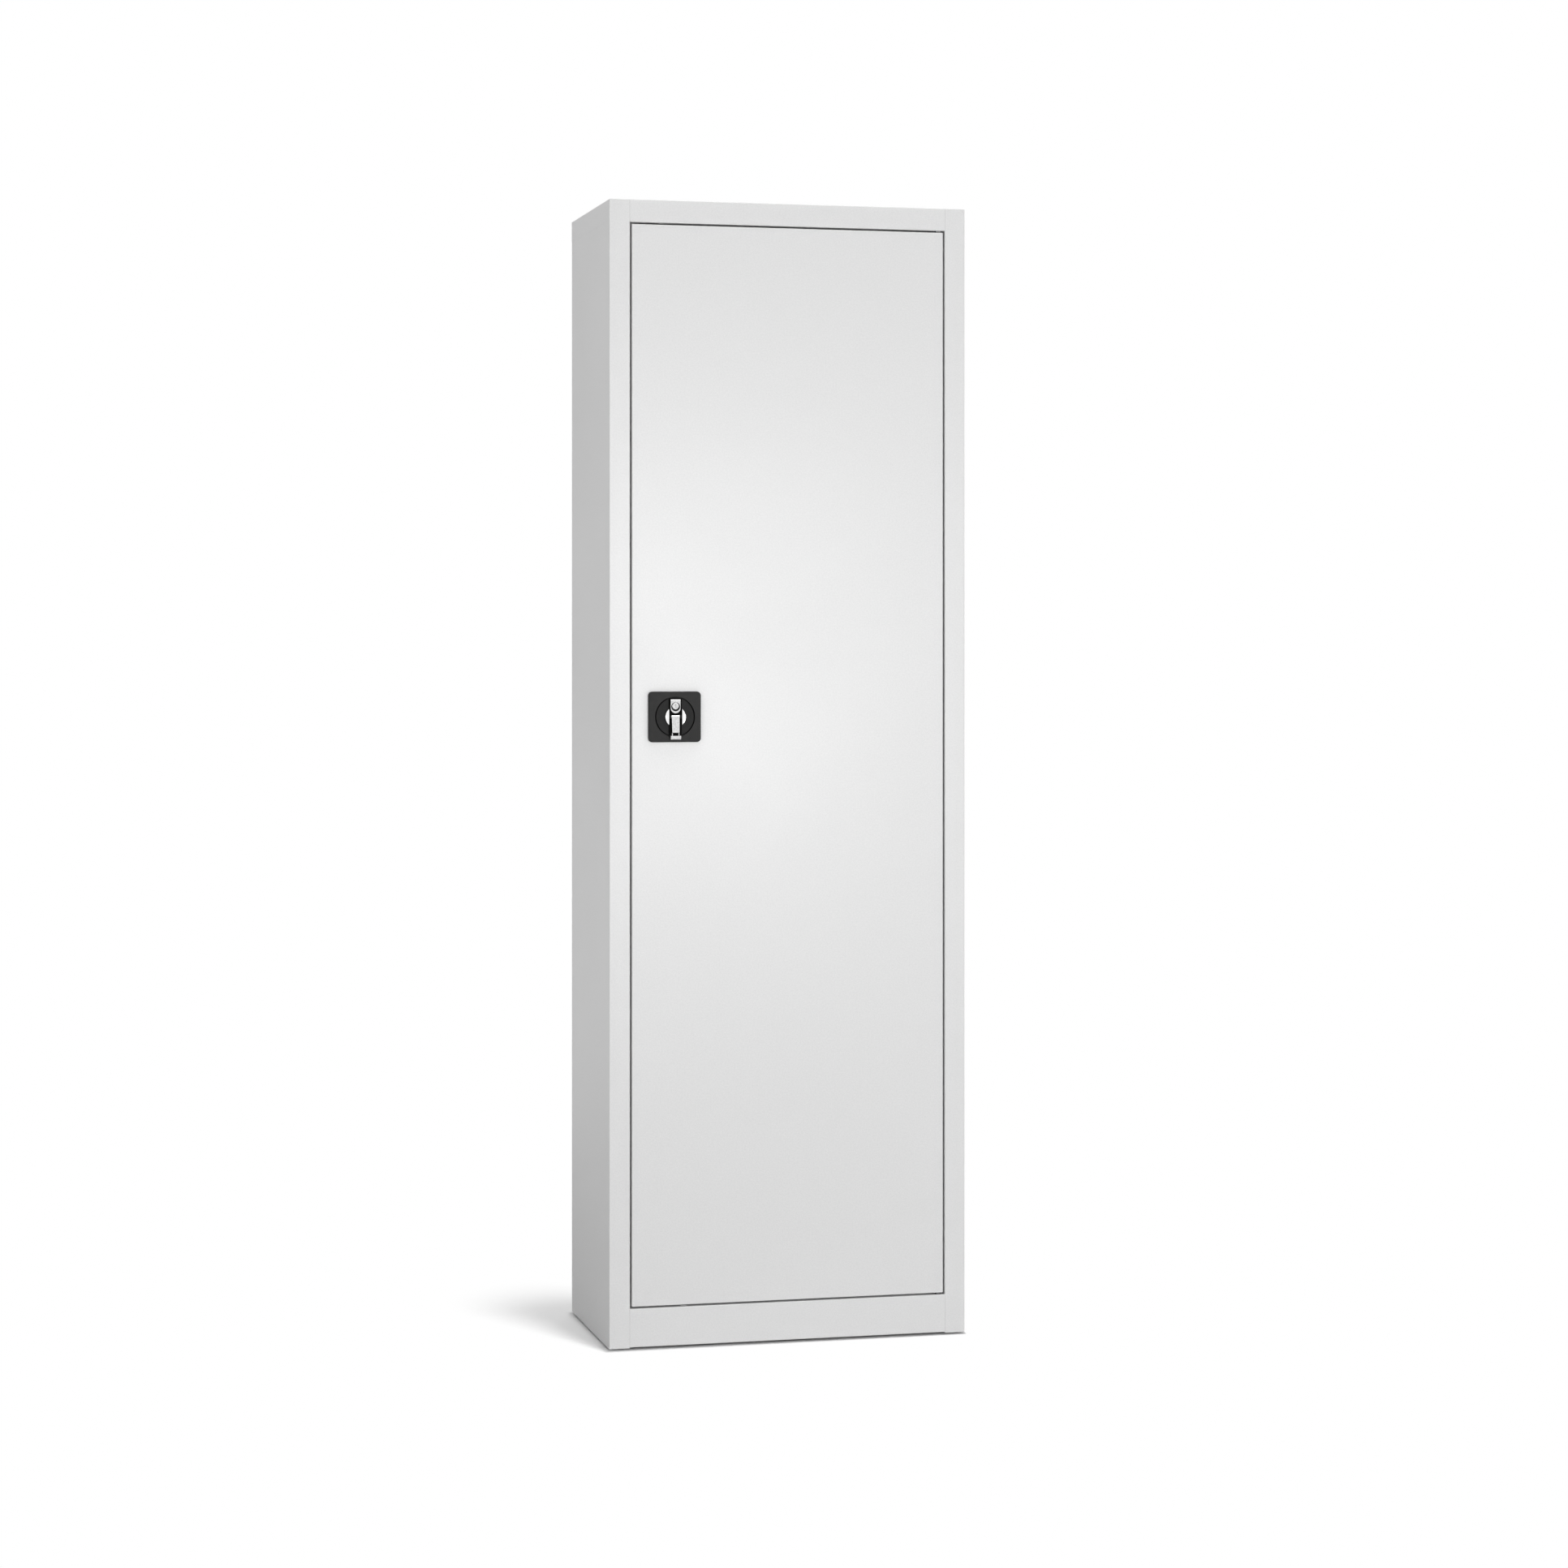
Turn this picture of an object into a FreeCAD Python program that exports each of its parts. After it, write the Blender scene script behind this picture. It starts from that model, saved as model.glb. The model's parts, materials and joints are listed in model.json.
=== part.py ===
"""Steel broom cupboard with one flush door, a fold-out lever and two locking rods.

+X is to the right seen from the front, +Y towards the back and +Z up, in millimetres.
The origin is on the floor, under the middle of the box that holds the cupboard and its lever.
"""
import FreeCAD, Part
import math
import os
from FreeCAD import Vector

os.makedirs("parts", exist_ok=True)

# Overall sizes
HEIGHT = 1850.0
WIDTH = 595.0
DEPTH = 330.0

# Sheet steel, its bends and its seams
SHEET = 0.9
BEND_INSIDE = 0.7
SEAM = 0.1
BEND = SHEET + BEND_INSIDE

# Posts, rail, plinth and cap
POST_WIDTH = 34.0
POST_LIP = 16.0
STOP_LIP = 14.0
RAIL_HEIGHT = 36.5
RAIL_HEM = 12.0
PLINTH_TOP = 66.5
PLINTH_RAISE = 1.0
PLINTH_RETURN = 12.0
FLOOR_FLANGE = 20.0
CAP_FLANGE = 35.0
CAP_SETBACK = 15.0
CAP_LAP = 18.0
REAR_FLANGE = 18.0
FOOT_FLANGE = 32.0

# Glides under the corners
GLIDE_HEIGHT = 3.4
GLIDE_RADIUS = 12.0
GLIDE_STEM_RADIUS = 3.5
GLIDE_STEM_LENGTH = 6.0
GLIDE_FROM_SIDE = 17.0
GLIDE_FROM_JAMB = 10.0
GLIDE_FROM_BACK = 28.0

# Wall fixing holes in the back
WALL_HOLE_RADIUS = 4.25
WALL_HOLE_SPACING = 400.0
WALL_HOLE_BELOW_TOP = 150.0

# Door
DOOR_GAP = 3.0
DOOR_THICKNESS = 20.0
DOOR_LIP = 15.0
STIFFENER_FROM_HINGE = 190.0
STIFFENER_WEB = 40.0
STIFFENER_FLANGE = 15.0
STIFFENER_DEPTH = 14.0
STIFFENER_END_GAP = 40.0

# Rubber buffers on the stop lip
BUFFER_HEIGHT = 3.0
BUFFER_CLEARANCE = 0.3
BUFFER_RADIUS = 4.0
BUFFER_BEVEL = 0.9
BUFFER_FROM_ENDS = 240.0
BUFFER_COUNT = 3

# Pivot hinge
PIVOT_FROM_EDGE = 7.0
PIVOT_FROM_FACE = 6.0
PIN_RADIUS = 3.0
PIN_HEAD_RADIUS = 4.5
PIN_HEAD = 2.5
PIN_COLLAR_RADIUS = 5.2
PIN_REACH = 9.0
PIN_CLEARANCE = 0.08
BUSH_WALL = 1.5
BUSH_HEAD_RADIUS = 5.2
BUSH_HEAD = 1.2
BUSH_CLEARANCE = 0.3
HINGE_PLATE_LENGTH = 40.0
HINGE_PLATE_THICKNESS = 3.0

# General clearances
FIT = 0.1
LOOSE = 0.3

# Lock place and black plate
LOCK_FROM_EDGE = 69.3
LOCK_Z = 1017.8
PLATE_WIDTH = 85.5
PLATE_HEIGHT = 81.5
PLATE_THICKNESS = 7.0
PLATE_CORNER = 6.5
PLATE_CHAMFER = 1.2
PLATE_FLOOR = 1.6
PLATE_SCREW_X = 33.0
PLATE_SCREW_Z = 31.0

# Rotor and chrome ears
ROTOR_RADIUS = 31.2
ROTOR_GROOVE = 1.6
ROTOR_CHAMFER = 0.6
ROTOR_NECK_RADIUS = 12.0
CHANNEL_WIDTH = 21.6
CHANNEL_DEPTH = 2.6
CHANNEL_TOP = 29.5
NOTCH_DEPTH = 1.6
HUB_RADIUS = 17.2
HUB_BASE = 1.2
HUB_EAR = 5.2
HUB_RIM = 3.4
HUB_FLAT_RADIUS = 15.2

# Lever
LEVER_BODY_WIDTH = 13.2
LEVER_CLEARANCE = 0.4
LEVER_REACH = 7.2
LEVER_FACE_TOP_WIDTH = 12.4
LEVER_FACE_LOW_WIDTH = 11.4
LEVER_UNDERSIDE = 1.2
LEVER_FACE_END = 25.3
GROOVE_HEIGHT = 5.1
GROOVE_DEPTH = 2.3
GROOVE_SLOT = 9.6
LIP_WIDTH = 16.8
LIP_HEIGHT = 5.9
LIP_BEVEL = 1.6
LIP_REACH = 7.5
LIP_UNDERSIDE = 3.2
KNUCKLE_RADIUS = 3.6
LEVER_PIN_RADIUS = 2.0
LEVER_PIN_GRIP = 3.6
SPACER_RADIUS = 3.2

# Key cylinder and its housing
HOUSING_WIDTH = 16.0
HOUSING_TOP = 28.3
HOUSING_ARC_ABOVE = 14.0
HOUSING_REACH = 4.5
HOUSING_ROUND = 1.6
CYLINDER_ABOVE = 17.6
CYLINDER_RADIUS = 5.3
CYLINDER_PROUD = 1.0
CYLINDER_DEPTH = 4.6
RING_RADIUS = 7.2
RING_DROP = 1.2
RING_DEPTH = 2.2
RING_RECESS = 0.3
KEY_SLOT_WIDTH = 1.3
KEY_SLOT_HEIGHT = 6.0
KEY_SLOT_DEPTH = 3.5

# Rack and pinion drive
GEAR_MODULE = 1.5
GEAR_TEETH = 16
PRESSURE_ANGLE = math.radians(20.0)
ADDENDUM = 0.85 * GEAR_MODULE
DEDENDUM = 1.15 * GEAR_MODULE
BACKLASH = 0.25
RACK_TEETH_AHEAD = 2
GEAR_FACE = 6.0
GEAR_SETBACK = 7.0
GEAR_HUB_RADIUS = 8.0
SPINDLE_SIDE = 8.0
SPINDLE_IN_ROTOR = 2.6

# Locking rods
ROD_WIDTH = 8.0
ROD_THICKNESS = 4.0
ROD_INSET = 2.0
ROD_TIP = 2.5
ROD_SLOT_CLEARANCE = 1.0
KEEPER_CLEARANCE = 1.5
GUIDE_WIDTH = 20.0
GUIDE_HEIGHT = 18.0
GUIDE_WALL = 2.5
GUIDE_FROM_END = 70.0
GUIDE_FROM_LOCK = 260.0

# Lock case
CASE_WALL = 2.0
CASE_HEIGHT = 96.0
CASE_FLANGE_WIDTH = 78.0
CASE_FLANGE_HEIGHT = 74.0
CASE_COVER = 1.5
CASE_BOSS_RADIUS = 4.0
CASE_BOSS_FROM_END = 8.0
CASE_DEPTH = 14.5
SCREW_RADIUS = 2.0
SCREW_HEAD_WIDTH = 7.0
SCREW_HEAD = 2.2
SCREW_GRIP = 4.0
COVER_SCREW_RADIUS = 1.5
COVER_SCREW_HEAD_WIDTH = 5.5
COVER_SCREW_HEAD = 1.8
COVER_SCREW_GRIP = 8.0

# Latch cam behind the stop lip
CAM_LENGTH = 70.0
CAM_THICKNESS = 3.0
CAM_BOSS_RADIUS = 11.0
CAM_TIP_RADIUS = 8.0
CAM_CLEARANCE = 0.6
CAM_SCREW_RADIUS = 2.4
CAM_SCREW_HEAD_WIDTH = 10.0
CAM_SCREW_HEAD = 3.0
CAM_SCREW_GRIP = 12.0

# Top shelf and its brackets
SHELF_TOP = 1500.0
SHELF_EDGE = 25.0
SHELF_LIP = 12.0
SHELF_SETBACK = 34.0
SHELF_CLEARANCE = 1.0
BRACKET_LEG = 20.0
BRACKET_LENGTH = 30.0
BRACKET_THICKNESS = 2.0
BRACKET_FROM_ENDS = 40.0

# Hook rail and hooks
HOOK_RAIL_Z = 1400.0
HOOK_RAIL_HEIGHT = 40.0
HOOK_RAIL_DEPTH = 12.0
HOOK_RAIL_SHEET = 1.2
HOOK_RAIL_END_GAP = 60.0
HOOK_COUNT = 4
HOOK_SPACING = 115.0
HOOK_WIDTH = 16.0
HOOK_STEEL = 2.0
HOOK_PLATE = 32.0
HOOK_REACH = 45.0
HOOK_RISE = 26.0
HOOK_LEAN = 8.0
HOOK_BEND = 5.0
RIVET_RADIUS = 2.0
RIVET_HEAD_RADIUS = 3.8
RIVET_HEAD = 1.6

# Places worked out from the sizes above
HANDLE_REACH = PLATE_THICKNESS + max(LEVER_REACH, LIP_REACH)
FRONT = HANDLE_REACH - (DEPTH + HANDLE_REACH) / 2
BACK = FRONT + DEPTH
LEFT = -WIDTH / 2
RIGHT = WIDTH / 2
BODY_BOTTOM = GLIDE_HEIGHT
JAMB_DEPTH = DOOR_THICKNESS + BUFFER_HEIGHT
RAIL_UNDERSIDE = HEIGHT - RAIL_HEIGHT
RAIL_RETURN = JAMB_DEPTH - BEND_INSIDE - SEAM
RAIL_HALF = WIDTH / 2 - POST_WIDTH - SEAM
BACK_PANEL_FRONT = BACK - 2 * SHEET
DOOR_LEFT = LEFT + POST_WIDTH + DOOR_GAP
DOOR_RIGHT = RIGHT - POST_WIDTH - DOOR_GAP
DOOR_BOTTOM = PLINTH_TOP + DOOR_GAP
DOOR_TOP = RAIL_UNDERSIDE - DOOR_GAP
DOOR_BACK = FRONT + DOOR_THICKNESS
DOOR_INSIDE = FRONT + SHEET
PIVOT_X = DOOR_RIGHT - PIVOT_FROM_EDGE
PIVOT_Y = FRONT + PIVOT_FROM_FACE
BUSH_BORE = PIN_RADIUS + PIN_CLEARANCE
BUSH_RADIUS = BUSH_BORE + BUSH_WALL
LOCK_X = DOOR_LEFT + LOCK_FROM_EDGE
PLATE_FACE = FRONT - PLATE_THICKNESS
ROTOR_BACK = FRONT - PLATE_FLOOR - LOOSE
CHANNEL_FLOOR = PLATE_FACE + CHANNEL_DEPTH
HUB_SEAT = CHANNEL_FLOOR + HUB_BASE
LEVER_PIN_Y = CHANNEL_FLOOR - LEVER_CLEARANCE - KNUCKLE_RADIUS
LIP_TOP = LEVER_FACE_END + GROOVE_HEIGHT
LIP_END = LIP_TOP + LIP_HEIGHT
PITCH_RADIUS = GEAR_MODULE * GEAR_TEETH / 2
RACK_ROOT = PITCH_RADIUS + DEDENDUM
GEAR_FRONT = FRONT + GEAR_SETBACK
GEAR_MIDDLE = GEAR_FRONT + GEAR_FACE / 2
ROD_OUTER = RACK_ROOT + ROD_WIDTH
ROD_TRAVEL = PITCH_RADIUS * math.pi / 2
CASE_FRONT = DOOR_INSIDE
CASE_BACK = CASE_FRONT + CASE_DEPTH
CASE_INSIDE = ROD_OUTER + LOOSE
CASE_HALF = CASE_INSIDE + CASE_WALL
CAM_FRONT = FRONT + JAMB_DEPTH + SHEET + CAM_CLEARANCE
CAM_BACK = CAM_FRONT + CAM_THICKNESS
WALL_INSIDE = WIDTH / 2 - SHEET


# Basic solids
def box(x_range, y_range, z_range):
    """Box between two coordinates along each axis."""
    size = [high - low for low, high in (x_range, y_range, z_range)]
    return Part.makeBox(*size, Vector(x_range[0], y_range[0], z_range[0]))


def bar_y(radius, x, z, y_range):
    """Round bar along Y."""
    start = Vector(x, y_range[0], z)
    return Part.makeCylinder(radius, y_range[1] - y_range[0], start, Vector(0, 1, 0))


def bar_z(radius, x, y, z_range):
    """Round bar along Z."""
    start = Vector(x, y, z_range[0])
    return Part.makeCylinder(radius, z_range[1] - z_range[0], start, Vector(0, 0, 1))


def bar_x(radius, y, z, x_range):
    """Round bar along X."""
    start = Vector(x_range[0], y, z)
    return Part.makeCylinder(radius, x_range[1] - x_range[0], start, Vector(1, 0, 0))


def square_y(side, x, z, y_range):
    """Square bar along Y."""
    half = side / 2
    return box((x - half, x + half), y_range, (z - half, z + half))


def join(*shapes):
    """One solid from shapes that touch or overlap."""
    return shapes[0].multiFuse(list(shapes[1:])).removeSplitter()


def mirror_x(shape):
    """The same shape on the other side of the middle plane."""
    return shape.mirror(Vector(0, 0, 0), Vector(1, 0, 0))


def round_edges(shape, radius, wanted):
    """Fillet the edges whose middle passes the test."""
    edges = [edge for edge in shape.Edges if wanted(edge.CenterOfMass)]
    return shape.makeFillet(radius, edges)


def bevel_edges(shape, size, wanted):
    """Chamfer the edges whose middle passes the test."""
    edges = [edge for edge in shape.Edges if wanted(edge.CenterOfMass)]
    return shape.makeChamfer(size, edges)


# Folded sheet
def beside(points, shift):
    """Corners of the line that runs beside a path, shifted to its left."""
    runs = [(end - start).normalize() for start, end in zip(points, points[1:])]
    normals = [Vector(-run.y, run.x, 0) for run in runs]
    line = [points[0] + normals[0] * shift]
    for corner, before, after in zip(points[1:-1], normals, normals[1:]):
        line.append(corner + (before + after) * (shift / (1 + before.dot(after))))
    line.append(points[-1] + normals[-1] * shift)
    return line


def rounded_runs(points, radii):
    """Straight runs joined by tangent arcs, as lists of two or three points."""
    pieces = []
    start = points[0]
    for before, corner, after, radius in zip(points, points[1:], points[2:], radii):
        run_in = (corner - before).normalize()
        run_out = (after - corner).normalize()
        half_turn = run_in.getAngle(run_out) / 2
        tangent = radius * math.tan(half_turn)
        centre = corner + (run_out - run_in).normalize() * (radius / math.cos(half_turn))
        arc_start = corner - run_in * tangent
        arc_end = corner + run_out * tangent
        arc_middle = centre + (corner - centre).normalize() * radius
        pieces.append([start, arc_start])
        pieces.append([arc_start, arc_middle, arc_end])
        start = arc_end
    pieces.append([start, points[-1]])
    return pieces


def folded_sheet(path, thickness, inside_radius, place, sweep):
    """Sheet bent along a path in a plane, its thickness to the path's left, swept straight."""
    points = [Vector(a, b, 0) for a, b in path]
    radii_path = []
    radii_beside = []
    for before, corner, after in zip(points, points[1:], points[2:]):
        turns_left = (corner - before).cross(after - corner).z > 0
        radii_path.append(inside_radius + (thickness if turns_left else 0))
        radii_beside.append(inside_radius + (0 if turns_left else thickness))
    line = beside(points, thickness)
    pieces = rounded_runs(points, radii_path)
    pieces.append([points[-1], line[-1]])
    pieces += rounded_runs(line[::-1], radii_beside[::-1])
    pieces.append([line[0], points[0]])
    edges = []
    for piece in pieces:
        corners = [place(point.x, point.y) for point in piece]
        curve = Part.Arc(*corners) if len(corners) == 3 else Part.LineSegment(*corners)
        edges.append(curve.toShape())
    return Part.Face(Part.Wire(edges)).extrude(sweep)


def pan(x_range, y_range, z_range, lip):
    """Tray of folded sheet, its closed face to the front and lips round its open back."""
    outer = box(x_range, y_range, z_range)
    front = y_range[0]
    outer = round_edges(outer, BEND, lambda middle: abs(middle.y - front) < FIT)
    inset_x = (x_range[0] + SHEET, x_range[1] - SHEET)
    inset_z = (z_range[0] + SHEET, z_range[1] - SHEET)
    hollow = box(inset_x, (front + SHEET, y_range[1] - SHEET), inset_z)
    hollow = round_edges(hollow, BEND_INSIDE, lambda middle: abs(middle.y - front - SHEET) < FIT)
    mouth_x = (x_range[0] + lip, x_range[1] - lip)
    mouth_z = (z_range[0] + lip, z_range[1] - lip)
    mouth = box(mouth_x, (y_range[1] - 2 * SHEET, y_range[1] + SHEET), mouth_z)
    return outer.cut(join(hollow, mouth))


# Body panels
def plain_side_panel(lip_end):
    """Left side panel: rear flange, wall, post, jamb and lip, folded from one sheet."""
    path = [
        (LEFT + REAR_FLANGE, BACK),
        (LEFT, BACK),
        (LEFT, FRONT),
        (LEFT + POST_WIDTH, FRONT),
        (LEFT + POST_WIDTH, FRONT + JAMB_DEPTH),
        (lip_end, FRONT + JAMB_DEPTH),
    ]
    top = HEIGHT - SHEET - SEAM
    seam_z = HEIGHT - CAP_FLANGE - SEAM
    sweep = Vector(0, 0, top - BODY_BOTTOM)
    panel = folded_sheet(path, SHEET, BEND_INSIDE, lambda x, y: Vector(x, y, BODY_BOTTOM), sweep)
    cap_y = (FRONT + CAP_SETBACK - SEAM, BACK - BEND)
    cap_room = box((LEFT - SHEET, LEFT + SHEET), cap_y, (seam_z, HEIGHT))
    rear_x = (LEFT - SHEET, LEFT + REAR_FLANGE + SHEET)
    rear_room = box(rear_x, (BACK - BEND, BACK + SHEET), (seam_z, HEIGHT))
    lap_y = (FRONT + JAMB_DEPTH + CAP_LAP, BACK - REAR_FLANGE - CAP_LAP)
    lap = box((LEFT + SHEET, LEFT + 2 * SHEET), lap_y, (seam_z - CAP_LAP, seam_z + CAP_LAP))
    foot_y = (FRONT + BEND, BACK - BEND)
    foot = box((LEFT + SHEET, LEFT + FOOT_FLANGE), foot_y, (BODY_BOTTOM, BODY_BOTTOM + SHEET))
    panel = join(panel.cut(join(cap_room, rear_room)), lap, foot)
    for y in glide_rows():
        panel = panel.cut(bar_z(GLIDE_STEM_RADIUS + FIT, LEFT + GLIDE_FROM_SIDE, y, (0, 2 * BODY_BOTTOM)))
    return panel


def glide_rows():
    """Distances of the front and back glides along Y."""
    return (FRONT + JAMB_DEPTH + GLIDE_FROM_JAMB, BACK - GLIDE_FROM_BACK)


def left_side_panel():
    """Side panel on the lock side, with the stop lip behind the door's edge."""
    panel = plain_side_panel(LEFT + POST_WIDTH + STOP_LIP)
    lip_x = (LEFT + POST_WIDTH, LEFT + POST_WIDTH + STOP_LIP + SHEET)
    lip_y = (FRONT + JAMB_DEPTH - BEND, FRONT + JAMB_DEPTH + 2 * SHEET)
    return panel.cut(box(lip_x, lip_y, (0, PLINTH_TOP + SEAM)))


def right_side_panel():
    """Side panel on the hinge side, whose lip turns back into the post."""
    return mirror_x(plain_side_panel(LEFT + POST_WIDTH - POST_LIP))


def corner_welds(z_range):
    """Ground welds that fill the posts' rounded edges beside the rail or the plinth."""
    post_edge = WIDTH / 2 - POST_WIDTH
    fill = box((RAIL_HALF - FIT, post_edge + BEND), (FRONT, FRONT + SHEET), z_range)
    fill = fill.cut(bar_z(BEND + SEAM, post_edge + BEND, FRONT + BEND, z_range))
    return fill, mirror_x(fill)


def rod_opening(side, clearance, z_range):
    """Room for a rod: side -1 is the top rod's side of the lock, +1 the bottom rod's."""
    middle = LOCK_X + side * (RACK_ROOT + ROD_WIDTH / 2)
    half_width = ROD_WIDTH / 2 + clearance
    half_depth = ROD_THICKNESS / 2 + clearance
    x_range = (middle - half_width, middle + half_width)
    return box(x_range, (GEAR_MIDDLE - half_depth, GEAR_MIDDLE + half_depth), z_range)


def top_panel():
    """Cap with side and rear flanges, and the rail over the door with its return."""
    outer = box((LEFT, RIGHT), (FRONT, BACK), (HEIGHT - CAP_FLANGE, HEIGHT))
    outer = round_edges(outer, BEND, lambda middle: abs(middle.z - HEIGHT) < FIT)
    hollow_x = (LEFT + SHEET, RIGHT - SHEET)
    hollow_y = (FRONT + SHEET, BACK - SHEET)
    hollow = box(hollow_x, hollow_y, (HEIGHT - RAIL_HEIGHT - CAP_FLANGE, HEIGHT - SHEET))
    hollow = round_edges(hollow, BEND_INSIDE, lambda middle: abs(middle.z - HEIGHT + SHEET) < FIT)
    cap = outer.cut(hollow)
    rooms = []
    for post_x in ((LEFT - SHEET, -RAIL_HALF), (RAIL_HALF, RIGHT + SHEET)):
        rooms.append(box(post_x, (FRONT - SHEET, FRONT + CAP_SETBACK), (RAIL_UNDERSIDE, HEIGHT - SHEET)))
    rooms.append(box((LEFT, RIGHT), (FRONT - SHEET, FRONT + SHEET), (RAIL_UNDERSIDE, HEIGHT - BEND)))
    cap = cap.cut(join(*rooms))
    path = [
        (FRONT, HEIGHT - BEND),
        (FRONT, RAIL_UNDERSIDE),
        (FRONT + RAIL_RETURN, RAIL_UNDERSIDE),
        (FRONT + RAIL_RETURN, RAIL_UNDERSIDE + RAIL_HEM),
    ]
    sweep = Vector(2 * RAIL_HALF, 0, 0)
    rail = folded_sheet(path, SHEET, BEND_INSIDE, lambda y, z: Vector(-RAIL_HALF, y, z), sweep)
    cap = join(cap, rail, *corner_welds((RAIL_UNDERSIDE + BEND, HEIGHT - BEND)))
    through = (RAIL_UNDERSIDE - SHEET, RAIL_UNDERSIDE + 2 * SHEET)
    cap = cap.cut(bar_z(PIN_RADIUS + FIT, PIVOT_X, PIVOT_Y, through))
    return cap.cut(rod_opening(-1, KEEPER_CLEARANCE, through))


def floor_panel():
    """Floor of the cupboard and the plinth face, folded from one sheet, with side flanges."""
    rear = BACK_PANEL_FRONT - SEAM
    half = WALL_INSIDE - SEAM
    low = PLINTH_TOP - FLOOR_FLANGE
    plinth_bottom = BODY_BOTTOM + PLINTH_RAISE
    path = [
        (rear, low),
        (rear, PLINTH_TOP),
        (FRONT, PLINTH_TOP),
        (FRONT, plinth_bottom),
        (FRONT + PLINTH_RETURN, plinth_bottom),
    ]
    sweep = Vector(2 * half, 0, 0)
    floor = folded_sheet(path, SHEET, BEND_INSIDE, lambda y, z: Vector(-half, y, z), sweep)
    post_back = FRONT + JAMB_DEPTH + SHEET + SEAM
    flange_y = (post_back, rear - BEND)
    for inner, outer in ((-half + SHEET, -half), (half - SHEET, half)):
        flange_x = (min(inner, outer), max(inner, outer))
        floor = join(floor, box(flange_x, flange_y, (low, PLINTH_TOP - SHEET / 2)))
    for post_x in ((-half - SHEET, -RAIL_HALF), (RAIL_HALF, half + SHEET)):
        floor = floor.cut(box(post_x, (FRONT - SHEET, post_back), (0, PLINTH_TOP + SHEET)))
    floor = join(floor, *corner_welds((plinth_bottom + BEND, PLINTH_TOP - BEND)))
    through = (PLINTH_TOP - 2 * SHEET, PLINTH_TOP + SHEET)
    floor = floor.cut(bar_z(PIN_RADIUS + FIT, PIVOT_X, PIVOT_Y, through))
    return floor.cut(rod_opening(1, KEEPER_CLEARANCE, through))


def back_panel():
    """Flat back, held inside the flanges of the sides and the cap, with two wall fixing holes."""
    half = WALL_INSIDE - BEND_INSIDE - FIT
    z_range = (BODY_BOTTOM + SHEET + SEAM, HEIGHT - SHEET - BEND_INSIDE)
    panel = box((-half, half), (BACK_PANEL_FRONT, BACK - SHEET), z_range)
    through = (BACK_PANEL_FRONT - SHEET, BACK)
    for side in (-1, 1):
        hole_x = side * WALL_HOLE_SPACING / 2
        panel = panel.cut(bar_y(WALL_HOLE_RADIUS, hole_x, HEIGHT - WALL_HOLE_BELOW_TOP, through))
    return panel


def floor_glides():
    """Four plastic glides, each with a stem pushed into the foot flange above it."""
    glides = []
    for x in (LEFT + GLIDE_FROM_SIDE, RIGHT - GLIDE_FROM_SIDE):
        for y in glide_rows():
            pad = bar_z(GLIDE_RADIUS, x, y, (0, GLIDE_HEIGHT))
            stem = bar_z(GLIDE_STEM_RADIUS, x, y, (GLIDE_HEIGHT, GLIDE_HEIGHT + GLIDE_STEM_LENGTH))
            glides.append(join(pad, stem))
    return Part.makeCompound(glides)


def buffer_x():
    """Buffers stand where the stop lip lies behind the door's edge."""
    return (DOOR_LEFT + LEFT + POST_WIDTH + STOP_LIP) / 2


def buffer_rows():
    """Heights of the buffers, evenly spread between the door's ends."""
    first = DOOR_BOTTOM + BUFFER_FROM_ENDS
    step = (DOOR_TOP - BUFFER_FROM_ENDS - first) / (BUFFER_COUNT - 1)
    return [first + step * number for number in range(BUFFER_COUNT)]


def door_buffers():
    """Rubber buffers stuck on the stop lip, just clear of the closed door."""
    face = DOOR_BACK + BUFFER_CLEARANCE
    buffers = []
    for z in buffer_rows():
        pad = bar_y(BUFFER_RADIUS, buffer_x(), z, (face, FRONT + JAMB_DEPTH))
        buffers.append(bevel_edges(pad, BUFFER_BEVEL, lambda middle: middle.y < face + FIT))
    return Part.makeCompound(buffers)


# Door
def plate_screw_places():
    """Centres of the two screws that hold the lock plate, on a diagonal, as x and z."""
    return [(LOCK_X + side * PLATE_SCREW_X, LOCK_Z - side * PLATE_SCREW_Z) for side in (-1, 1)]


def door_skin():
    """Door pan with the openings for the lock, the bushes and the rod ends."""
    skin = pan((DOOR_LEFT, DOOR_RIGHT), (FRONT, DOOR_BACK), (DOOR_BOTTOM, DOOR_TOP), DOOR_LIP)
    through = (FRONT - SHEET, FRONT + 2 * SHEET)
    openings = [bar_y(ROTOR_NECK_RADIUS + 2 * LOOSE, LOCK_X, LOCK_Z, through)]
    for x, z in plate_screw_places():
        openings.append(bar_y(SCREW_RADIUS + FIT, x, z, through))
    top = (DOOR_TOP - 2 * SHEET, DOOR_TOP + SHEET)
    bottom = (DOOR_BOTTOM - SHEET, DOOR_BOTTOM + 2 * SHEET)
    for z_range in (top, bottom):
        openings.append(bar_z(BUSH_RADIUS + FIT, PIVOT_X, PIVOT_Y, z_range))
    openings.append(rod_opening(-1, ROD_SLOT_CLEARANCE, top))
    openings.append(rod_opening(1, ROD_SLOT_CLEARANCE, bottom))
    return skin.cut(Part.makeCompound(openings))


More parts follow.
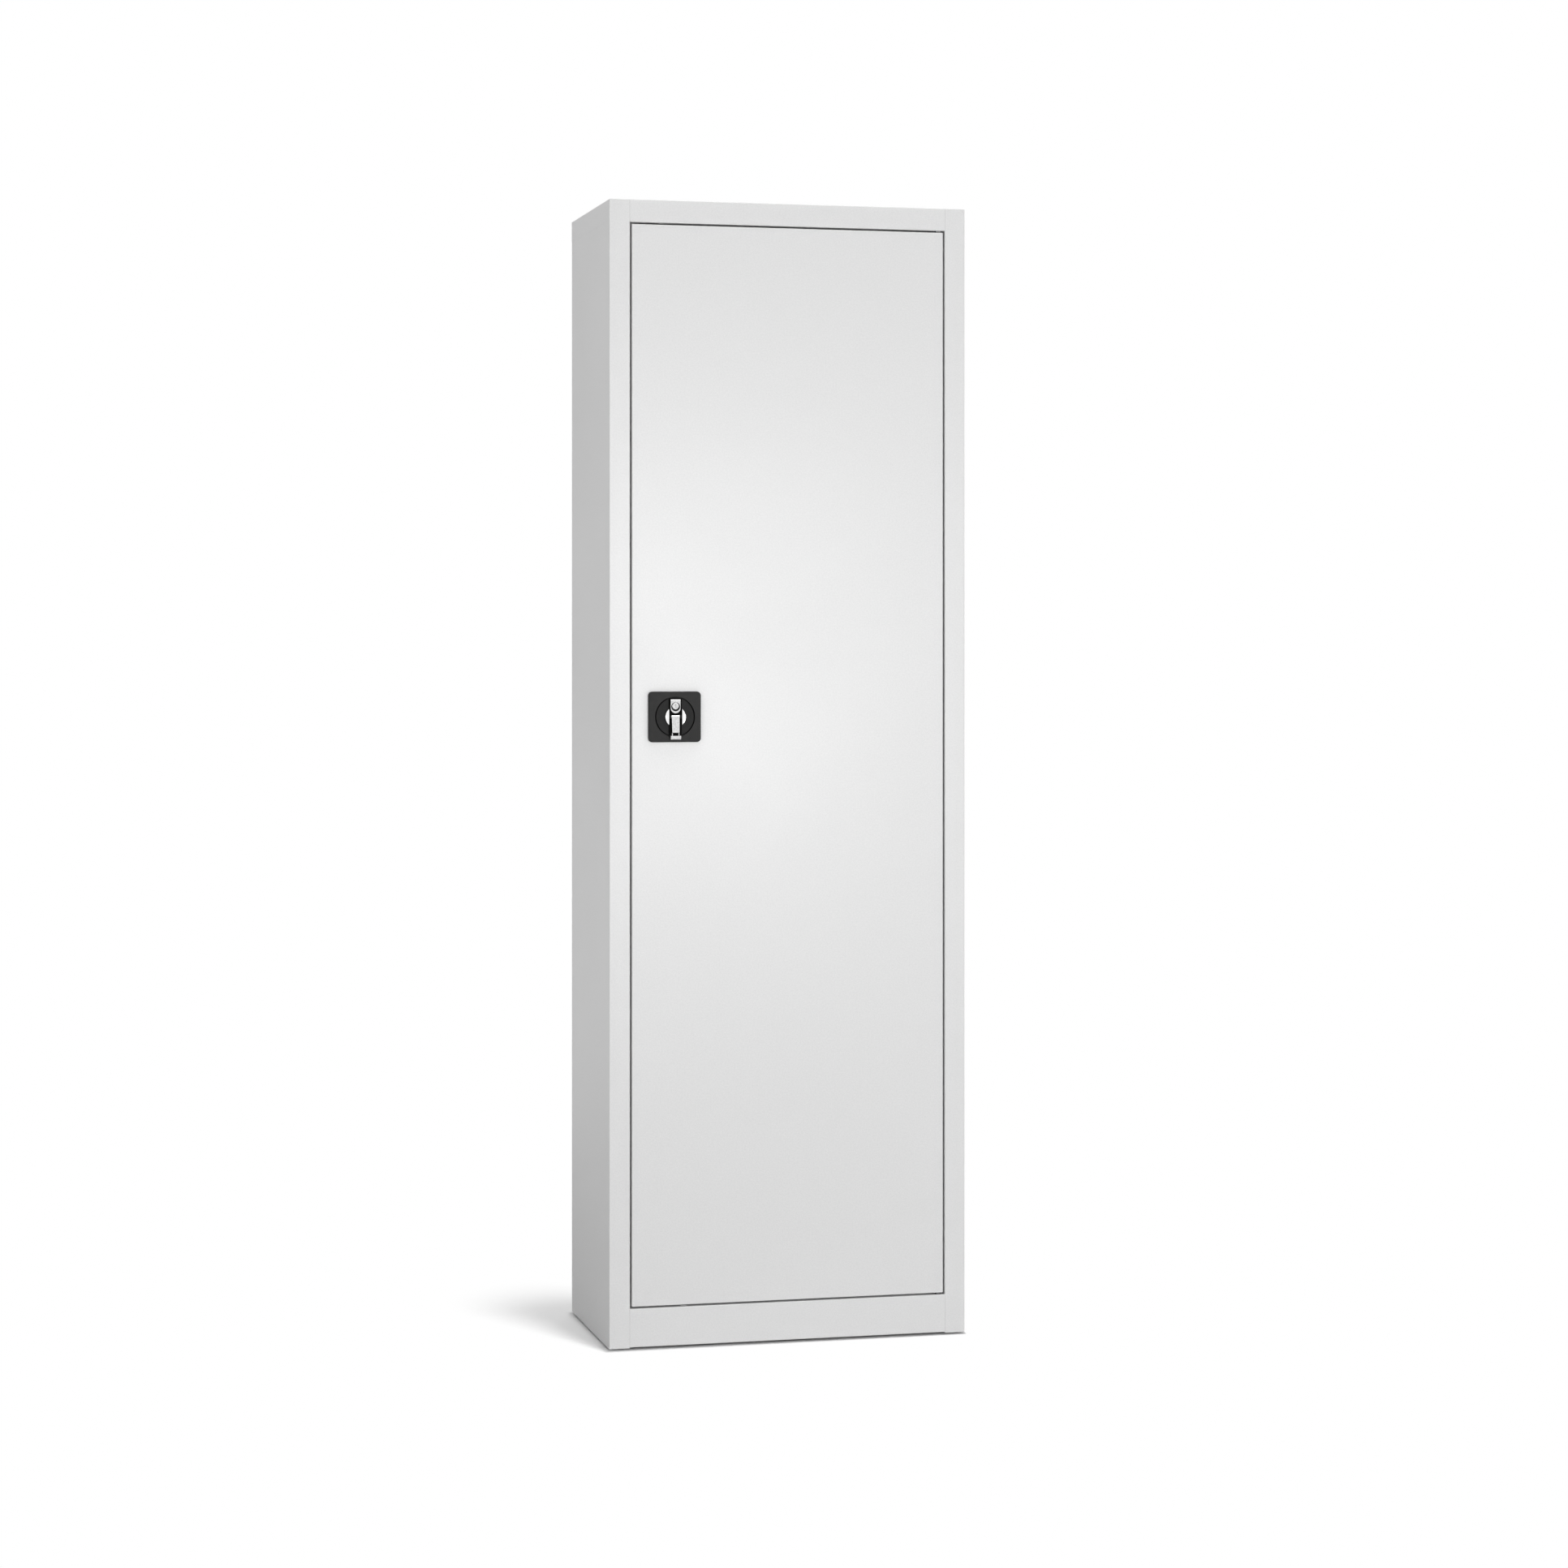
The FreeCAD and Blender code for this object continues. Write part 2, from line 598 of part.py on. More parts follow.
def door_stiffener():
    """Upright hat section welded to the inside of the door."""
    middle = DOOR_RIGHT - STIFFENER_FROM_HINGE
    web = STIFFENER_WEB / 2
    flange = web + STIFFENER_FLANGE
    crown = DOOR_INSIDE + STIFFENER_DEPTH
    seat = DOOR_INSIDE + SHEET
    path = [
        (middle + flange, seat),
        (middle + web, seat),
        (middle + web, crown),
        (middle - web, crown),
        (middle - web, seat),
        (middle - flange, seat),
    ]
    z_range = (DOOR_BOTTOM + STIFFENER_END_GAP, DOOR_TOP - STIFFENER_END_GAP)
    sweep = Vector(0, 0, z_range[1] - z_range[0])
    return folded_sheet(path, SHEET, BEND_INSIDE, lambda x, y: Vector(x, y, z_range[0]), sweep)


def hinge_plates():
    """Thick steel in the door's two hinge corners, behind the bushes."""
    x_range = (DOOR_RIGHT - SHEET - HINGE_PLATE_LENGTH, DOOR_RIGHT - SHEET)
    y_range = (DOOR_INSIDE + BEND_INSIDE, DOOR_BACK - SHEET)
    low = DOOR_BOTTOM + SHEET
    high = DOOR_TOP - SHEET
    plates = []
    for z_range in ((low, low + HINGE_PLATE_THICKNESS), (high - HINGE_PLATE_THICKNESS, high)):
        hole = bar_z(BUSH_RADIUS + FIT, PIVOT_X, PIVOT_Y, (z_range[0] - SHEET, z_range[1] + SHEET))
        plates.append(box(x_range, y_range, z_range).cut(hole))
    return Part.makeCompound(plates)


def hinge_bush(edge, outward):
    """Nylon bush in the door's edge; outward is +1 at the top and -1 at the bottom."""
    reach = SHEET + HINGE_PLATE_THICKNESS + BUSH_WALL
    inner = edge - outward * reach
    outer = edge + outward * BUSH_HEAD
    body = bar_z(BUSH_RADIUS, PIVOT_X, PIVOT_Y, (min(inner, edge), max(inner, edge)))
    head = bar_z(BUSH_HEAD_RADIUS, PIVOT_X, PIVOT_Y, (min(edge, outer), max(edge, outer)))
    bore = bar_z(BUSH_BORE, PIVOT_X, PIVOT_Y, (min(inner, outer) - SHEET, max(inner, outer) + SHEET))
    return join(body, head).cut(bore)


def hinge_pin(sheet_face, door_edge, inward):
    """Pin through a sheet flange: a head behind it, a collar on its door side and the shank."""
    behind = sheet_face - inward * SHEET
    head_end = behind - inward * PIN_HEAD
    tip = door_edge + inward * PIN_REACH
    collar_end = door_edge - inward * (BUSH_HEAD + BUSH_CLEARANCE)
    shank = bar_z(PIN_RADIUS, PIVOT_X, PIVOT_Y, (min(head_end, tip), max(head_end, tip)))
    shank = bevel_edges(shank, PIN_RADIUS / 4, lambda middle: abs(middle.z - tip) < FIT)
    head = bar_z(PIN_HEAD_RADIUS, PIVOT_X, PIVOT_Y, (min(behind, head_end), max(behind, head_end)))
    collar_z = (min(sheet_face, collar_end), max(sheet_face, collar_end))
    collar = bar_z(PIN_COLLAR_RADIUS, PIVOT_X, PIVOT_Y, collar_z)
    return join(shank, head, collar)


# Lock front
def lock_plate():
    """Black square plate with rounded corners and a round well for the rotor."""
    x_range = (LOCK_X - PLATE_WIDTH / 2, LOCK_X + PLATE_WIDTH / 2)
    z_range = (LOCK_Z - PLATE_HEIGHT / 2, LOCK_Z + PLATE_HEIGHT / 2)
    plate = box(x_range, (PLATE_FACE, FRONT), z_range)
    middle_y = (PLATE_FACE + FRONT) / 2
    plate = round_edges(plate, PLATE_CORNER, lambda middle: abs(middle.y - middle_y) < FIT)
    face_edges = [edge for edge in plate.Edges if abs(edge.BoundBox.YMax - PLATE_FACE) < FIT]
    plate = plate.makeChamfer(PLATE_CHAMFER, face_edges)
    well = bar_y(ROTOR_RADIUS + ROTOR_GROOVE, LOCK_X, LOCK_Z, (PLATE_FACE - SHEET, FRONT - PLATE_FLOOR))
    bore = bar_y(ROTOR_NECK_RADIUS + LOOSE, LOCK_X, LOCK_Z, (PLATE_FACE, FRONT + SHEET))
    screw_holes = []
    for x, z in plate_screw_places():
        screw_holes.append(bar_y(SCREW_RADIUS + FIT, x, z, (FRONT - SCREW_GRIP - LOOSE, FRONT + SHEET)))
    return plate.cut(Part.makeCompound([join(well, bore)] + screw_holes))


def lock_rotor():
    """Black disc that turns in the plate, with a notched channel, the ears' seats and a neck."""
    disc = bar_y(ROTOR_RADIUS, LOCK_X, LOCK_Z, (PLATE_FACE, ROTOR_BACK))
    disc = bevel_edges(disc, ROTOR_CHAMFER, lambda middle: abs(middle.y - PLATE_FACE) < FIT)
    neck = bar_y(ROTOR_NECK_RADIUS, LOCK_X, LOCK_Z, (ROTOR_BACK, CASE_FRONT - LOOSE))
    half = CHANNEL_WIDTH / 2
    channel_y = (PLATE_FACE - SHEET, CHANNEL_FLOOR)
    channel_z = (LOCK_Z - 2 * ROTOR_RADIUS, LOCK_Z + CHANNEL_TOP)
    channel = box((LOCK_X - half, LOCK_X + half), channel_y, channel_z)
    notch_half = HOUSING_WIDTH / 2 + LOOSE
    notch_y = (PLATE_FACE - SHEET, CHANNEL_FLOOR + NOTCH_DEPTH)
    notch_z = (LOCK_Z + HOUSING_TOP + FIT, LOCK_Z + 2 * ROTOR_RADIUS)
    notch = box((LOCK_X - notch_half, LOCK_X + notch_half), notch_y, notch_z)
    seats = bar_y(HUB_RADIUS + FIT, LOCK_X, LOCK_Z, (PLATE_FACE - SHEET, HUB_SEAT))
    rib_x = (LOCK_X - half + FIT, LOCK_X + half - FIT)
    rib_z = (LOCK_Z - 2 * HUB_RADIUS, LOCK_Z + 2 * HUB_RADIUS)
    seats = seats.cut(box(rib_x, (CHANNEL_FLOOR, HUB_SEAT + SHEET), rib_z))
    socket_y = (FRONT - SPINDLE_IN_ROTOR - FIT, CASE_FRONT)
    socket = square_y(SPINDLE_SIDE + 2 * FIT, LOCK_X, LOCK_Z, socket_y)
    return join(disc, neck).cut(join(channel, notch, seats)).cut(socket)


def lock_hub():
    """Two chrome ears with bevelled rims, seated in the rotor, that hold the lever's pin."""
    rim_y = PLATE_FACE - HUB_RIM
    crown_y = PLATE_FACE - HUB_EAR
    bulge = (HUB_RADIUS - HUB_FLAT_RADIUS) * math.cos(math.pi / 4)
    rise = (rim_y - crown_y) * math.sin(math.pi / 4)
    flat_end = Vector(LOCK_X + HUB_FLAT_RADIUS, crown_y, LOCK_Z)
    shoulder = Vector(LOCK_X + HUB_FLAT_RADIUS + bulge, rim_y - rise, LOCK_Z)
    rim = Vector(LOCK_X + HUB_RADIUS, rim_y, LOCK_Z)
    foot = Vector(LOCK_X + HUB_RADIUS, HUB_SEAT, LOCK_Z)
    centre_back = Vector(LOCK_X, HUB_SEAT, LOCK_Z)
    centre_front = Vector(LOCK_X, crown_y, LOCK_Z)
    edges = [
        Part.LineSegment(centre_front, flat_end).toShape(),
        Part.LineSegment(flat_end, shoulder).toShape(),
        Part.LineSegment(shoulder, rim).toShape(),
        Part.LineSegment(rim, foot).toShape(),
        Part.LineSegment(foot, centre_back).toShape(),
        Part.LineSegment(centre_back, centre_front).toShape(),
    ]
    dome = Part.Face(Part.Wire(edges)).revolve(centre_back, Vector(0, 1, 0), 360)
    half = CHANNEL_WIDTH / 2
    slot_z = (LOCK_Z - 2 * HUB_RADIUS, LOCK_Z + 2 * HUB_RADIUS)
    slot = box((LOCK_X - half, LOCK_X + half), (crown_y - SHEET, HUB_SEAT + SHEET), slot_z)
    reach = half + LEVER_PIN_GRIP + FIT
    pin_hole = bar_x(LEVER_PIN_RADIUS + FIT, LEVER_PIN_Y, LOCK_Z, (LOCK_X - reach, LOCK_X + reach))
    return dome.cut(join(slot, pin_hole))


def lever_pin():
    """Bar through the lever's knuckle, its ends in the ears."""
    reach = CHANNEL_WIDTH / 2 + LEVER_PIN_GRIP
    return bar_x(LEVER_PIN_RADIUS, LEVER_PIN_Y, LOCK_Z, (LOCK_X - reach, LOCK_X + reach))


def lever_spacers():
    """Two sleeves on the pin that keep the lever midway between the ears."""
    inner = LEVER_BODY_WIDTH / 2 + LEVER_CLEARANCE
    outer = CHANNEL_WIDTH / 2 - FIT
    reach = CHANNEL_WIDTH / 2 + LEVER_PIN_GRIP
    bore = bar_x(LEVER_PIN_RADIUS + FIT, LEVER_PIN_Y, LOCK_Z, (LOCK_X - reach, LOCK_X + reach))
    sleeves = []
    for sleeve_x in ((LOCK_X - outer, LOCK_X - inner), (LOCK_X + inner, LOCK_X + outer)):
        sleeves.append(bar_x(SPACER_RADIUS, LEVER_PIN_Y, LOCK_Z, sleeve_x).cut(bore))
    return Part.makeCompound(sleeves)


def lever_section(z, face_width):
    """Cross-section of the lever's body at one height, drawn in towards the face."""
    waist_y = PLATE_FACE - LEVER_UNDERSIDE
    face_y = PLATE_FACE - max(LEVER_REACH, LIP_REACH)
    half = LEVER_BODY_WIDTH / 2
    half_face = face_width / 2
    corners = [
        Vector(LOCK_X - half, CHANNEL_FLOOR, z),
        Vector(LOCK_X - half, waist_y, z),
        Vector(LOCK_X - half_face, face_y, z),
        Vector(LOCK_X + half_face, face_y, z),
        Vector(LOCK_X + half, waist_y, z),
        Vector(LOCK_X + half, CHANNEL_FLOOR, z),
    ]
    return Part.makePolygon(corners + corners[:1])


def lock_lever():
    """Chrome lever: a knuckle on the pin, a tapered grip, a slotted groove and a lip."""
    half = LIP_WIDTH / 2
    face_y = PLATE_FACE - LEVER_REACH
    lip_y = PLATE_FACE - LIP_REACH
    under_y = PLATE_FACE - LEVER_UNDERSIDE
    lip_under_y = PLATE_FACE - LIP_UNDERSIDE
    groove_y = face_y + GROOVE_DEPTH
    groove_top = -LEVER_FACE_END - GROOVE_DEPTH / 2
    groove_low = -LIP_TOP + GROOVE_DEPTH / 4
    profile = [
        (LEVER_PIN_Y - KNUCKLE_RADIUS, 0),
        (face_y, -LEVER_FACE_END),
        (groove_y, groove_top),
        (groove_y, groove_low),
        (lip_y, -LIP_TOP),
        (lip_y, -LIP_END + LIP_BEVEL),
        (lip_y + LIP_BEVEL, -LIP_END),
        (lip_under_y, -LIP_END),
        (lip_under_y, -LEVER_FACE_END),
        (under_y, -LEVER_FACE_END / 2),
        (under_y, 0),
    ]
    corners = [Vector(LOCK_X - half, y, LOCK_Z + z) for y, z in profile]
    outline = Part.Face(Part.makePolygon(corners + corners[:1]))
    grip = outline.extrude(Vector(LIP_WIDTH, 0, 0))
    knuckle = bar_x(KNUCKLE_RADIUS, LEVER_PIN_Y, LOCK_Z, (LOCK_X - half, LOCK_X + half))
    taper_top = lever_section(LOCK_Z + KNUCKLE_RADIUS + FIT, LEVER_FACE_TOP_WIDTH)
    taper_low = lever_section(LOCK_Z + groove_low, LEVER_FACE_LOW_WIDTH)
    taper = Part.makeLoft([taper_top, taper_low], True, True)
    lip_room = box(
        (LOCK_X - half, LOCK_X + half),
        (lip_y - SHEET, PLATE_FACE),
        (LOCK_Z - 2 * LIP_END, LOCK_Z + groove_low),
    )
    lever = join(grip, knuckle).common(join(taper, lip_room))
    bore = bar_x(LEVER_PIN_RADIUS + PIN_CLEARANCE, LEVER_PIN_Y, LOCK_Z, (LOCK_X - half, LOCK_X + half))
    slot_x = (LOCK_X - GROOVE_SLOT / 2, LOCK_X + GROOVE_SLOT / 2)
    slot = box(slot_x, (lip_y - SHEET, PLATE_FACE), (LOCK_Z + groove_low, LOCK_Z + groove_top))
    return lever.cut(Part.makeCompound([bore, slot]))


def cylinder_housing():
    """Chrome block above the lever, square at the top, round below, with the ring's pocket."""
    face_y = PLATE_FACE - HOUSING_REACH
    y_range = (face_y, CHANNEL_FLOOR)
    half = HOUSING_WIDTH / 2
    centre_z = LOCK_Z + CYLINDER_ABOVE
    arc_z = LOCK_Z + HOUSING_ARC_ABOVE
    block = box((LOCK_X - half, LOCK_X + half), y_range, (arc_z, LOCK_Z + HOUSING_TOP))
    housing = join(block, bar_y(half, LOCK_X, arc_z, y_range))
    top = LOCK_Z + HOUSING_TOP

    def is_top_front(middle):
        return abs(middle.y - face_y) < FIT and abs(middle.z - top) < FIT

    housing = round_edges(housing, HOUSING_ROUND, is_top_front)
    bore_end = face_y + CYLINDER_DEPTH + LOOSE
    bore = bar_y(CYLINDER_RADIUS + PIN_CLEARANCE, LOCK_X, centre_z, (face_y - SHEET, bore_end))
    pocket_y = (face_y - SHEET, face_y + RING_DEPTH)
    pocket = bar_y(RING_RADIUS + FIT, LOCK_X, centre_z - RING_DROP, pocket_y)
    return housing.cut(join(bore, pocket))


def cylinder_ring():
    """Black ring in the housing's pocket, round the key cylinder and wider below it."""
    face_y = PLATE_FACE - HOUSING_REACH
    centre_z = LOCK_Z + CYLINDER_ABOVE
    ring_y = (face_y + RING_RECESS, face_y + RING_DEPTH)
    ring = bar_y(RING_RADIUS, LOCK_X, centre_z - RING_DROP, ring_y)
    return ring.cut(bar_y(CYLINDER_RADIUS + LOOSE, LOCK_X, centre_z, ring_y))


def key_cylinder():
    """Key cylinder with an upright slot for the key."""
    face_y = PLATE_FACE - HOUSING_REACH - CYLINDER_PROUD
    centre_z = LOCK_Z + CYLINDER_ABOVE
    back_y = PLATE_FACE - HOUSING_REACH + CYLINDER_DEPTH
    plug = bar_y(CYLINDER_RADIUS, LOCK_X, centre_z, (face_y, back_y))
    plug = bevel_edges(plug, CYLINDER_PROUD / 2, lambda middle: abs(middle.y - face_y) < FIT)
    half_width = KEY_SLOT_WIDTH / 2
    half_height = KEY_SLOT_HEIGHT / 2
    slot = box(
        (LOCK_X - half_width, LOCK_X + half_width),
        (face_y - SHEET, face_y + KEY_SLOT_DEPTH),
        (centre_z - half_height, centre_z + half_height),
    )
    return plug.cut(slot)


# Lock drive
def drive_spindle():
    """Square bar from the rotor, through the pinion, to the cam."""
    end = CAM_BACK - FIT
    spindle = square_y(SPINDLE_SIDE, LOCK_X, LOCK_Z, (FRONT - SPINDLE_IN_ROTOR, end))
    hole_y = (end - CAM_SCREW_GRIP - LOOSE, end + SHEET)
    return spindle.cut(bar_y(CAM_SCREW_RADIUS + FIT, LOCK_X, LOCK_Z, hole_y))


def involute(angle):
    """Roll angle of an involute at a pressure angle."""
    return math.tan(angle) - angle


def gear_point(radius, angle):
    """Point of the pinion's outline, at the front of its teeth."""
    return Vector(LOCK_X + radius * math.cos(angle), GEAR_FRONT, LOCK_Z + radius * math.sin(angle))


def drive_pinion():
    """Pinion with involute teeth, and the hubs that turn in the lock case."""
    base_radius = PITCH_RADIUS * math.cos(PRESSURE_ANGLE)
    tip_radius = PITCH_RADIUS + ADDENDUM
    root_radius = PITCH_RADIUS - DEDENDUM
    flank_radius = (base_radius + tip_radius) / 2
    tooth = math.pi * GEAR_MODULE / 2 - BACKLASH
    half_at_base = tooth / (2 * PITCH_RADIUS) + involute(PRESSURE_ANGLE)

    def half_angle(radius):
        return half_at_base - involute(math.acos(base_radius / radius))

    pitch_angle = 2 * math.pi / GEAR_TEETH
    edges = []
    for number in range(GEAR_TEETH):
        middle = number * pitch_angle
        next_root = middle + pitch_angle - half_at_base
        low_root = gear_point(root_radius, middle - half_at_base)
        low_base = gear_point(base_radius, middle - half_at_base)
        low_flank = gear_point(flank_radius, middle - half_angle(flank_radius))
        low_tip = gear_point(tip_radius, middle - half_angle(tip_radius))
        high_tip = gear_point(tip_radius, middle + half_angle(tip_radius))
        high_flank = gear_point(flank_radius, middle + half_angle(flank_radius))
        high_base = gear_point(base_radius, middle + half_at_base)
        high_root = gear_point(root_radius, middle + half_at_base)
        edges.append(Part.LineSegment(low_root, low_base))
        edges.append(Part.Arc(low_base, low_flank, low_tip))
        edges.append(Part.LineSegment(low_tip, high_tip))
        edges.append(Part.Arc(high_tip, high_flank, high_base))
        edges.append(Part.LineSegment(high_base, high_root))
        edges.append(Part.LineSegment(high_root, gear_point(root_radius, next_root)))
    outline = Part.Wire([edge.toShape() for edge in edges])
    gear = Part.Face(outline).extrude(Vector(0, GEAR_FACE, 0))
    front_hub = bar_y(GEAR_HUB_RADIUS, LOCK_X, LOCK_Z, (CASE_FRONT, GEAR_FRONT))
    rear_hub = bar_y(GEAR_HUB_RADIUS, LOCK_X, LOCK_Z, (GEAR_FRONT + GEAR_FACE, CAM_FRONT))
    bore = square_y(SPINDLE_SIDE + 2 * FIT, LOCK_X, LOCK_Z, (FRONT, CAM_BACK))
    return join(gear, front_hub, rear_hub).cut(bore)


def locking_rod(side, end_z):
    """Flat rod with a rack beside the pinion; side -1 is the top rod and +1 the bottom rod."""
    pitch = math.pi * GEAR_MODULE
    outward = -side
    teeth_behind = round(ROD_TRAVEL / pitch) + RACK_TEETH_AHEAD
    tail_z = LOCK_Z - outward * (teeth_behind + 0.5) * pitch
    tip_z = end_z - outward * ROD_INSET
    x_root = LOCK_X + side * RACK_ROOT
    x_outer = LOCK_X + side * ROD_OUTER
    y_range = (GEAR_MIDDLE - ROD_THICKNESS / 2, GEAR_MIDDLE + ROD_THICKNESS / 2)
    x_range = (min(x_root, x_outer), max(x_root, x_outer))
    rod = box(x_range, y_range, (min(tail_z, tip_z), max(tail_z, tip_z)))

    def is_tip_corner(middle):
        return abs(middle.z - tip_z) < FIT and abs(middle.y - GEAR_MIDDLE) < FIT

    rod = bevel_edges(rod, ROD_TIP, is_tip_corner)
    half_tooth = (math.pi * GEAR_MODULE / 2 - BACKLASH) / 2
    lean = math.tan(PRESSURE_ANGLE)
    half_tip = half_tooth - ADDENDUM * lean
    half_root = half_tooth + DEDENDUM * lean
    x_tip = LOCK_X + side * (PITCH_RADIUS - ADDENDUM)
    teeth = []
    for number in range(-teeth_behind, RACK_TEETH_AHEAD):
        middle = LOCK_Z + outward * (number + 0.5) * pitch
        corners = [
            Vector(x_root, y_range[0], middle - half_root),
            Vector(x_tip, y_range[0], middle - half_tip),
            Vector(x_tip, y_range[0], middle + half_tip),
            Vector(x_root, y_range[0], middle + half_root),
        ]
        tooth = Part.Face(Part.makePolygon(corners + corners[:1]))
        teeth.append(tooth.extrude(Vector(0, ROD_THICKNESS, 0)))
    return join(rod, *teeth)


def rod_guides():
    """Nylon guides on the inside of the door: one near the end and one midway on each rod."""
    guides = []
    for side, end_z in ((-1, DOOR_TOP), (1, DOOR_BOTTOM)):
        middle = LOCK_X + side * (RACK_ROOT + ROD_WIDTH / 2)
        x_range = (middle - GUIDE_WIDTH / 2, middle + GUIDE_WIDTH / 2)
        y_range = (DOOR_INSIDE, GEAR_MIDDLE + ROD_THICKNESS / 2 + LOOSE + GUIDE_WALL)
        for z in (end_z + side * GUIDE_FROM_END, LOCK_Z - side * GUIDE_FROM_LOCK):
            z_range = (z - GUIDE_HEIGHT / 2, z + GUIDE_HEIGHT / 2)
            guides.append(box(x_range, y_range, z_range).cut(rod_opening(side, LOOSE, z_range)))
    return Part.makeCompound(guides)


def case_boss_places():
    """Heights of the two bosses in the lock case."""
    reach = CASE_HEIGHT / 2 - CASE_BOSS_FROM_END
    return (LOCK_Z - reach, LOCK_Z + reach)


def lock_case():
    """Open steel case behind the door skin, with a flange for the plate's screws."""
    half_height = CASE_HEIGHT / 2
    z_range = (LOCK_Z - half_height, LOCK_Z + half_height)
    shell = box((LOCK_X - CASE_HALF, LOCK_X + CASE_HALF), (CASE_FRONT, CASE_BACK), z_range)
    inside_z = (z_range[0] + CASE_WALL, z_range[1] - CASE_WALL)
    inside_x = (LOCK_X - CASE_INSIDE, LOCK_X + CASE_INSIDE)
    hollow = box(inside_x, (CASE_FRONT + CASE_WALL, CASE_BACK + CASE_WALL), inside_z)
    half_flange = CASE_FLANGE_WIDTH / 2
    flange = box(
        (LOCK_X - half_flange, LOCK_X + half_flange),
        (CASE_FRONT, CASE_FRONT + CASE_WALL),
        (LOCK_Z - CASE_FLANGE_HEIGHT / 2, LOCK_Z + CASE_FLANGE_HEIGHT / 2),
    )
    bosses = [bar_y(CASE_BOSS_RADIUS, LOCK_X, z, (CASE_FRONT, CASE_BACK)) for z in case_boss_places()]
    case = join(shell.cut(hollow), flange, *bosses)
    through = (CASE_FRONT - CASE_WALL, CASE_FRONT + 2 * CASE_WALL)
    openings = [bar_y(GEAR_HUB_RADIUS + PIN_CLEARANCE, LOCK_X, LOCK_Z, through)]
    for x, z in plate_screw_places():
        openings.append(bar_y(SCREW_RADIUS + FIT, x, z, through))
    for z in case_boss_places():
        hole_y = (CASE_BACK - COVER_SCREW_GRIP - LOOSE, CASE_BACK + CASE_WALL)
        openings.append(bar_y(COVER_SCREW_RADIUS + FIT, LOCK_X, z, hole_y))
    openings.append(rod_opening(-1, LOOSE, (inside_z[1] - CASE_WALL, z_range[1] + CASE_WALL)))
    openings.append(rod_opening(1, LOOSE, (z_range[0] - CASE_WALL, inside_z[0] + CASE_WALL)))
    return case.cut(Part.makeCompound(openings))


def lock_case_cover():
    """Flat cover of the lock case."""
    half_height = CASE_HEIGHT / 2
    y_range = (CASE_BACK, CASE_BACK + CASE_COVER)
    z_range = (LOCK_Z - half_height, LOCK_Z + half_height)
    cover = box((LOCK_X - CASE_HALF, LOCK_X + CASE_HALF), y_range, z_range)
    through = (CASE_BACK - CASE_COVER, CASE_BACK + 2 * CASE_COVER)
    openings = [bar_y(GEAR_HUB_RADIUS + PIN_CLEARANCE, LOCK_X, LOCK_Z, through)]
    for z in case_boss_places():
        openings.append(bar_y(COVER_SCREW_RADIUS + FIT, LOCK_X, z, through))
    return cover.cut(Part.makeCompound(openings))


def screw_y(x, z, seat_y, radius, grip, head_width, head):
    """Screw pointing to the front, its hexagon head behind the seat."""
    shank = bar_y(radius, x, z, (seat_y - grip, seat_y))
    corner = head_width / math.sqrt(3)
    corners = []
    for number in range(7):
        angle = number * math.pi / 3
        corners.append(Vector(x + corner * math.cos(angle), seat_y, z + corner * math.sin(angle)))
    hexagon = Part.Face(Part.makePolygon(corners)).extrude(Vector(0, head, 0))
    return join(shank, hexagon)


def lock_screws():
    """Two screws that clamp the door skin between the case and the plate."""
    seat = CASE_FRONT + CASE_WALL
    grip = CASE_WALL + SHEET + SCREW_GRIP
    screws = []
    for x, z in plate_screw_places():
        screws.append(screw_y(x, z, seat, SCREW_RADIUS, grip, SCREW_HEAD_WIDTH, SCREW_HEAD))
    return Part.makeCompound(screws)


def cover_screws():
    """Two screws that hold the cover on the lock case."""
    seat = CASE_BACK + CASE_COVER
    grip = CASE_COVER + COVER_SCREW_GRIP
    head = (COVER_SCREW_HEAD_WIDTH, COVER_SCREW_HEAD)
    screws = [screw_y(LOCK_X, z, seat, COVER_SCREW_RADIUS, grip, *head) for z in case_boss_places()]
    return Part.makeCompound(screws)


def latch_cam():
    """Cam arm on the spindle's end, which turns behind the stop lip."""
    y_range = (CAM_FRONT, CAM_BACK)
    tip_z = LOCK_Z - CAM_LENGTH + CAM_TIP_RADIUS
    boss = bar_y(CAM_BOSS_RADIUS, LOCK_X, LOCK_Z, y_range)
    tip = bar_y(CAM_TIP_RADIUS, LOCK_X, tip_z, y_range)
    arm = box((LOCK_X - CAM_TIP_RADIUS, LOCK_X + CAM_TIP_RADIUS), y_range, (tip_z, LOCK_Z))
    hole = square_y(SPINDLE_SIDE + 2 * FIT, LOCK_X, LOCK_Z, (FRONT, CAM_BACK + SHEET))
    return join(boss, arm, tip).cut(hole)


def cam_screw():
    """Screw that holds the cam on the spindle."""
    head = (CAM_SCREW_HEAD_WIDTH, CAM_SCREW_HEAD)
    return screw_y(LOCK_X, LOCK_Z, CAM_BACK, CAM_SCREW_RADIUS, CAM_SCREW_GRIP, *head)


# Inside fittings
def shelf():
    """Folded shelf with a deep edge and a lip turned in under it."""
    half = WALL_INSIDE - SHELF_CLEARANCE
    depth_range = (FRONT + SHELF_SETBACK, BACK_PANEL_FRONT - SHELF_CLEARANCE)
    tray = pan((-half, half), (-SHELF_TOP, SHELF_EDGE - SHELF_TOP), depth_range, SHELF_LIP)
    return tray.rotate(Vector(0, 0, 0), Vector(1, 0, 0), -90)


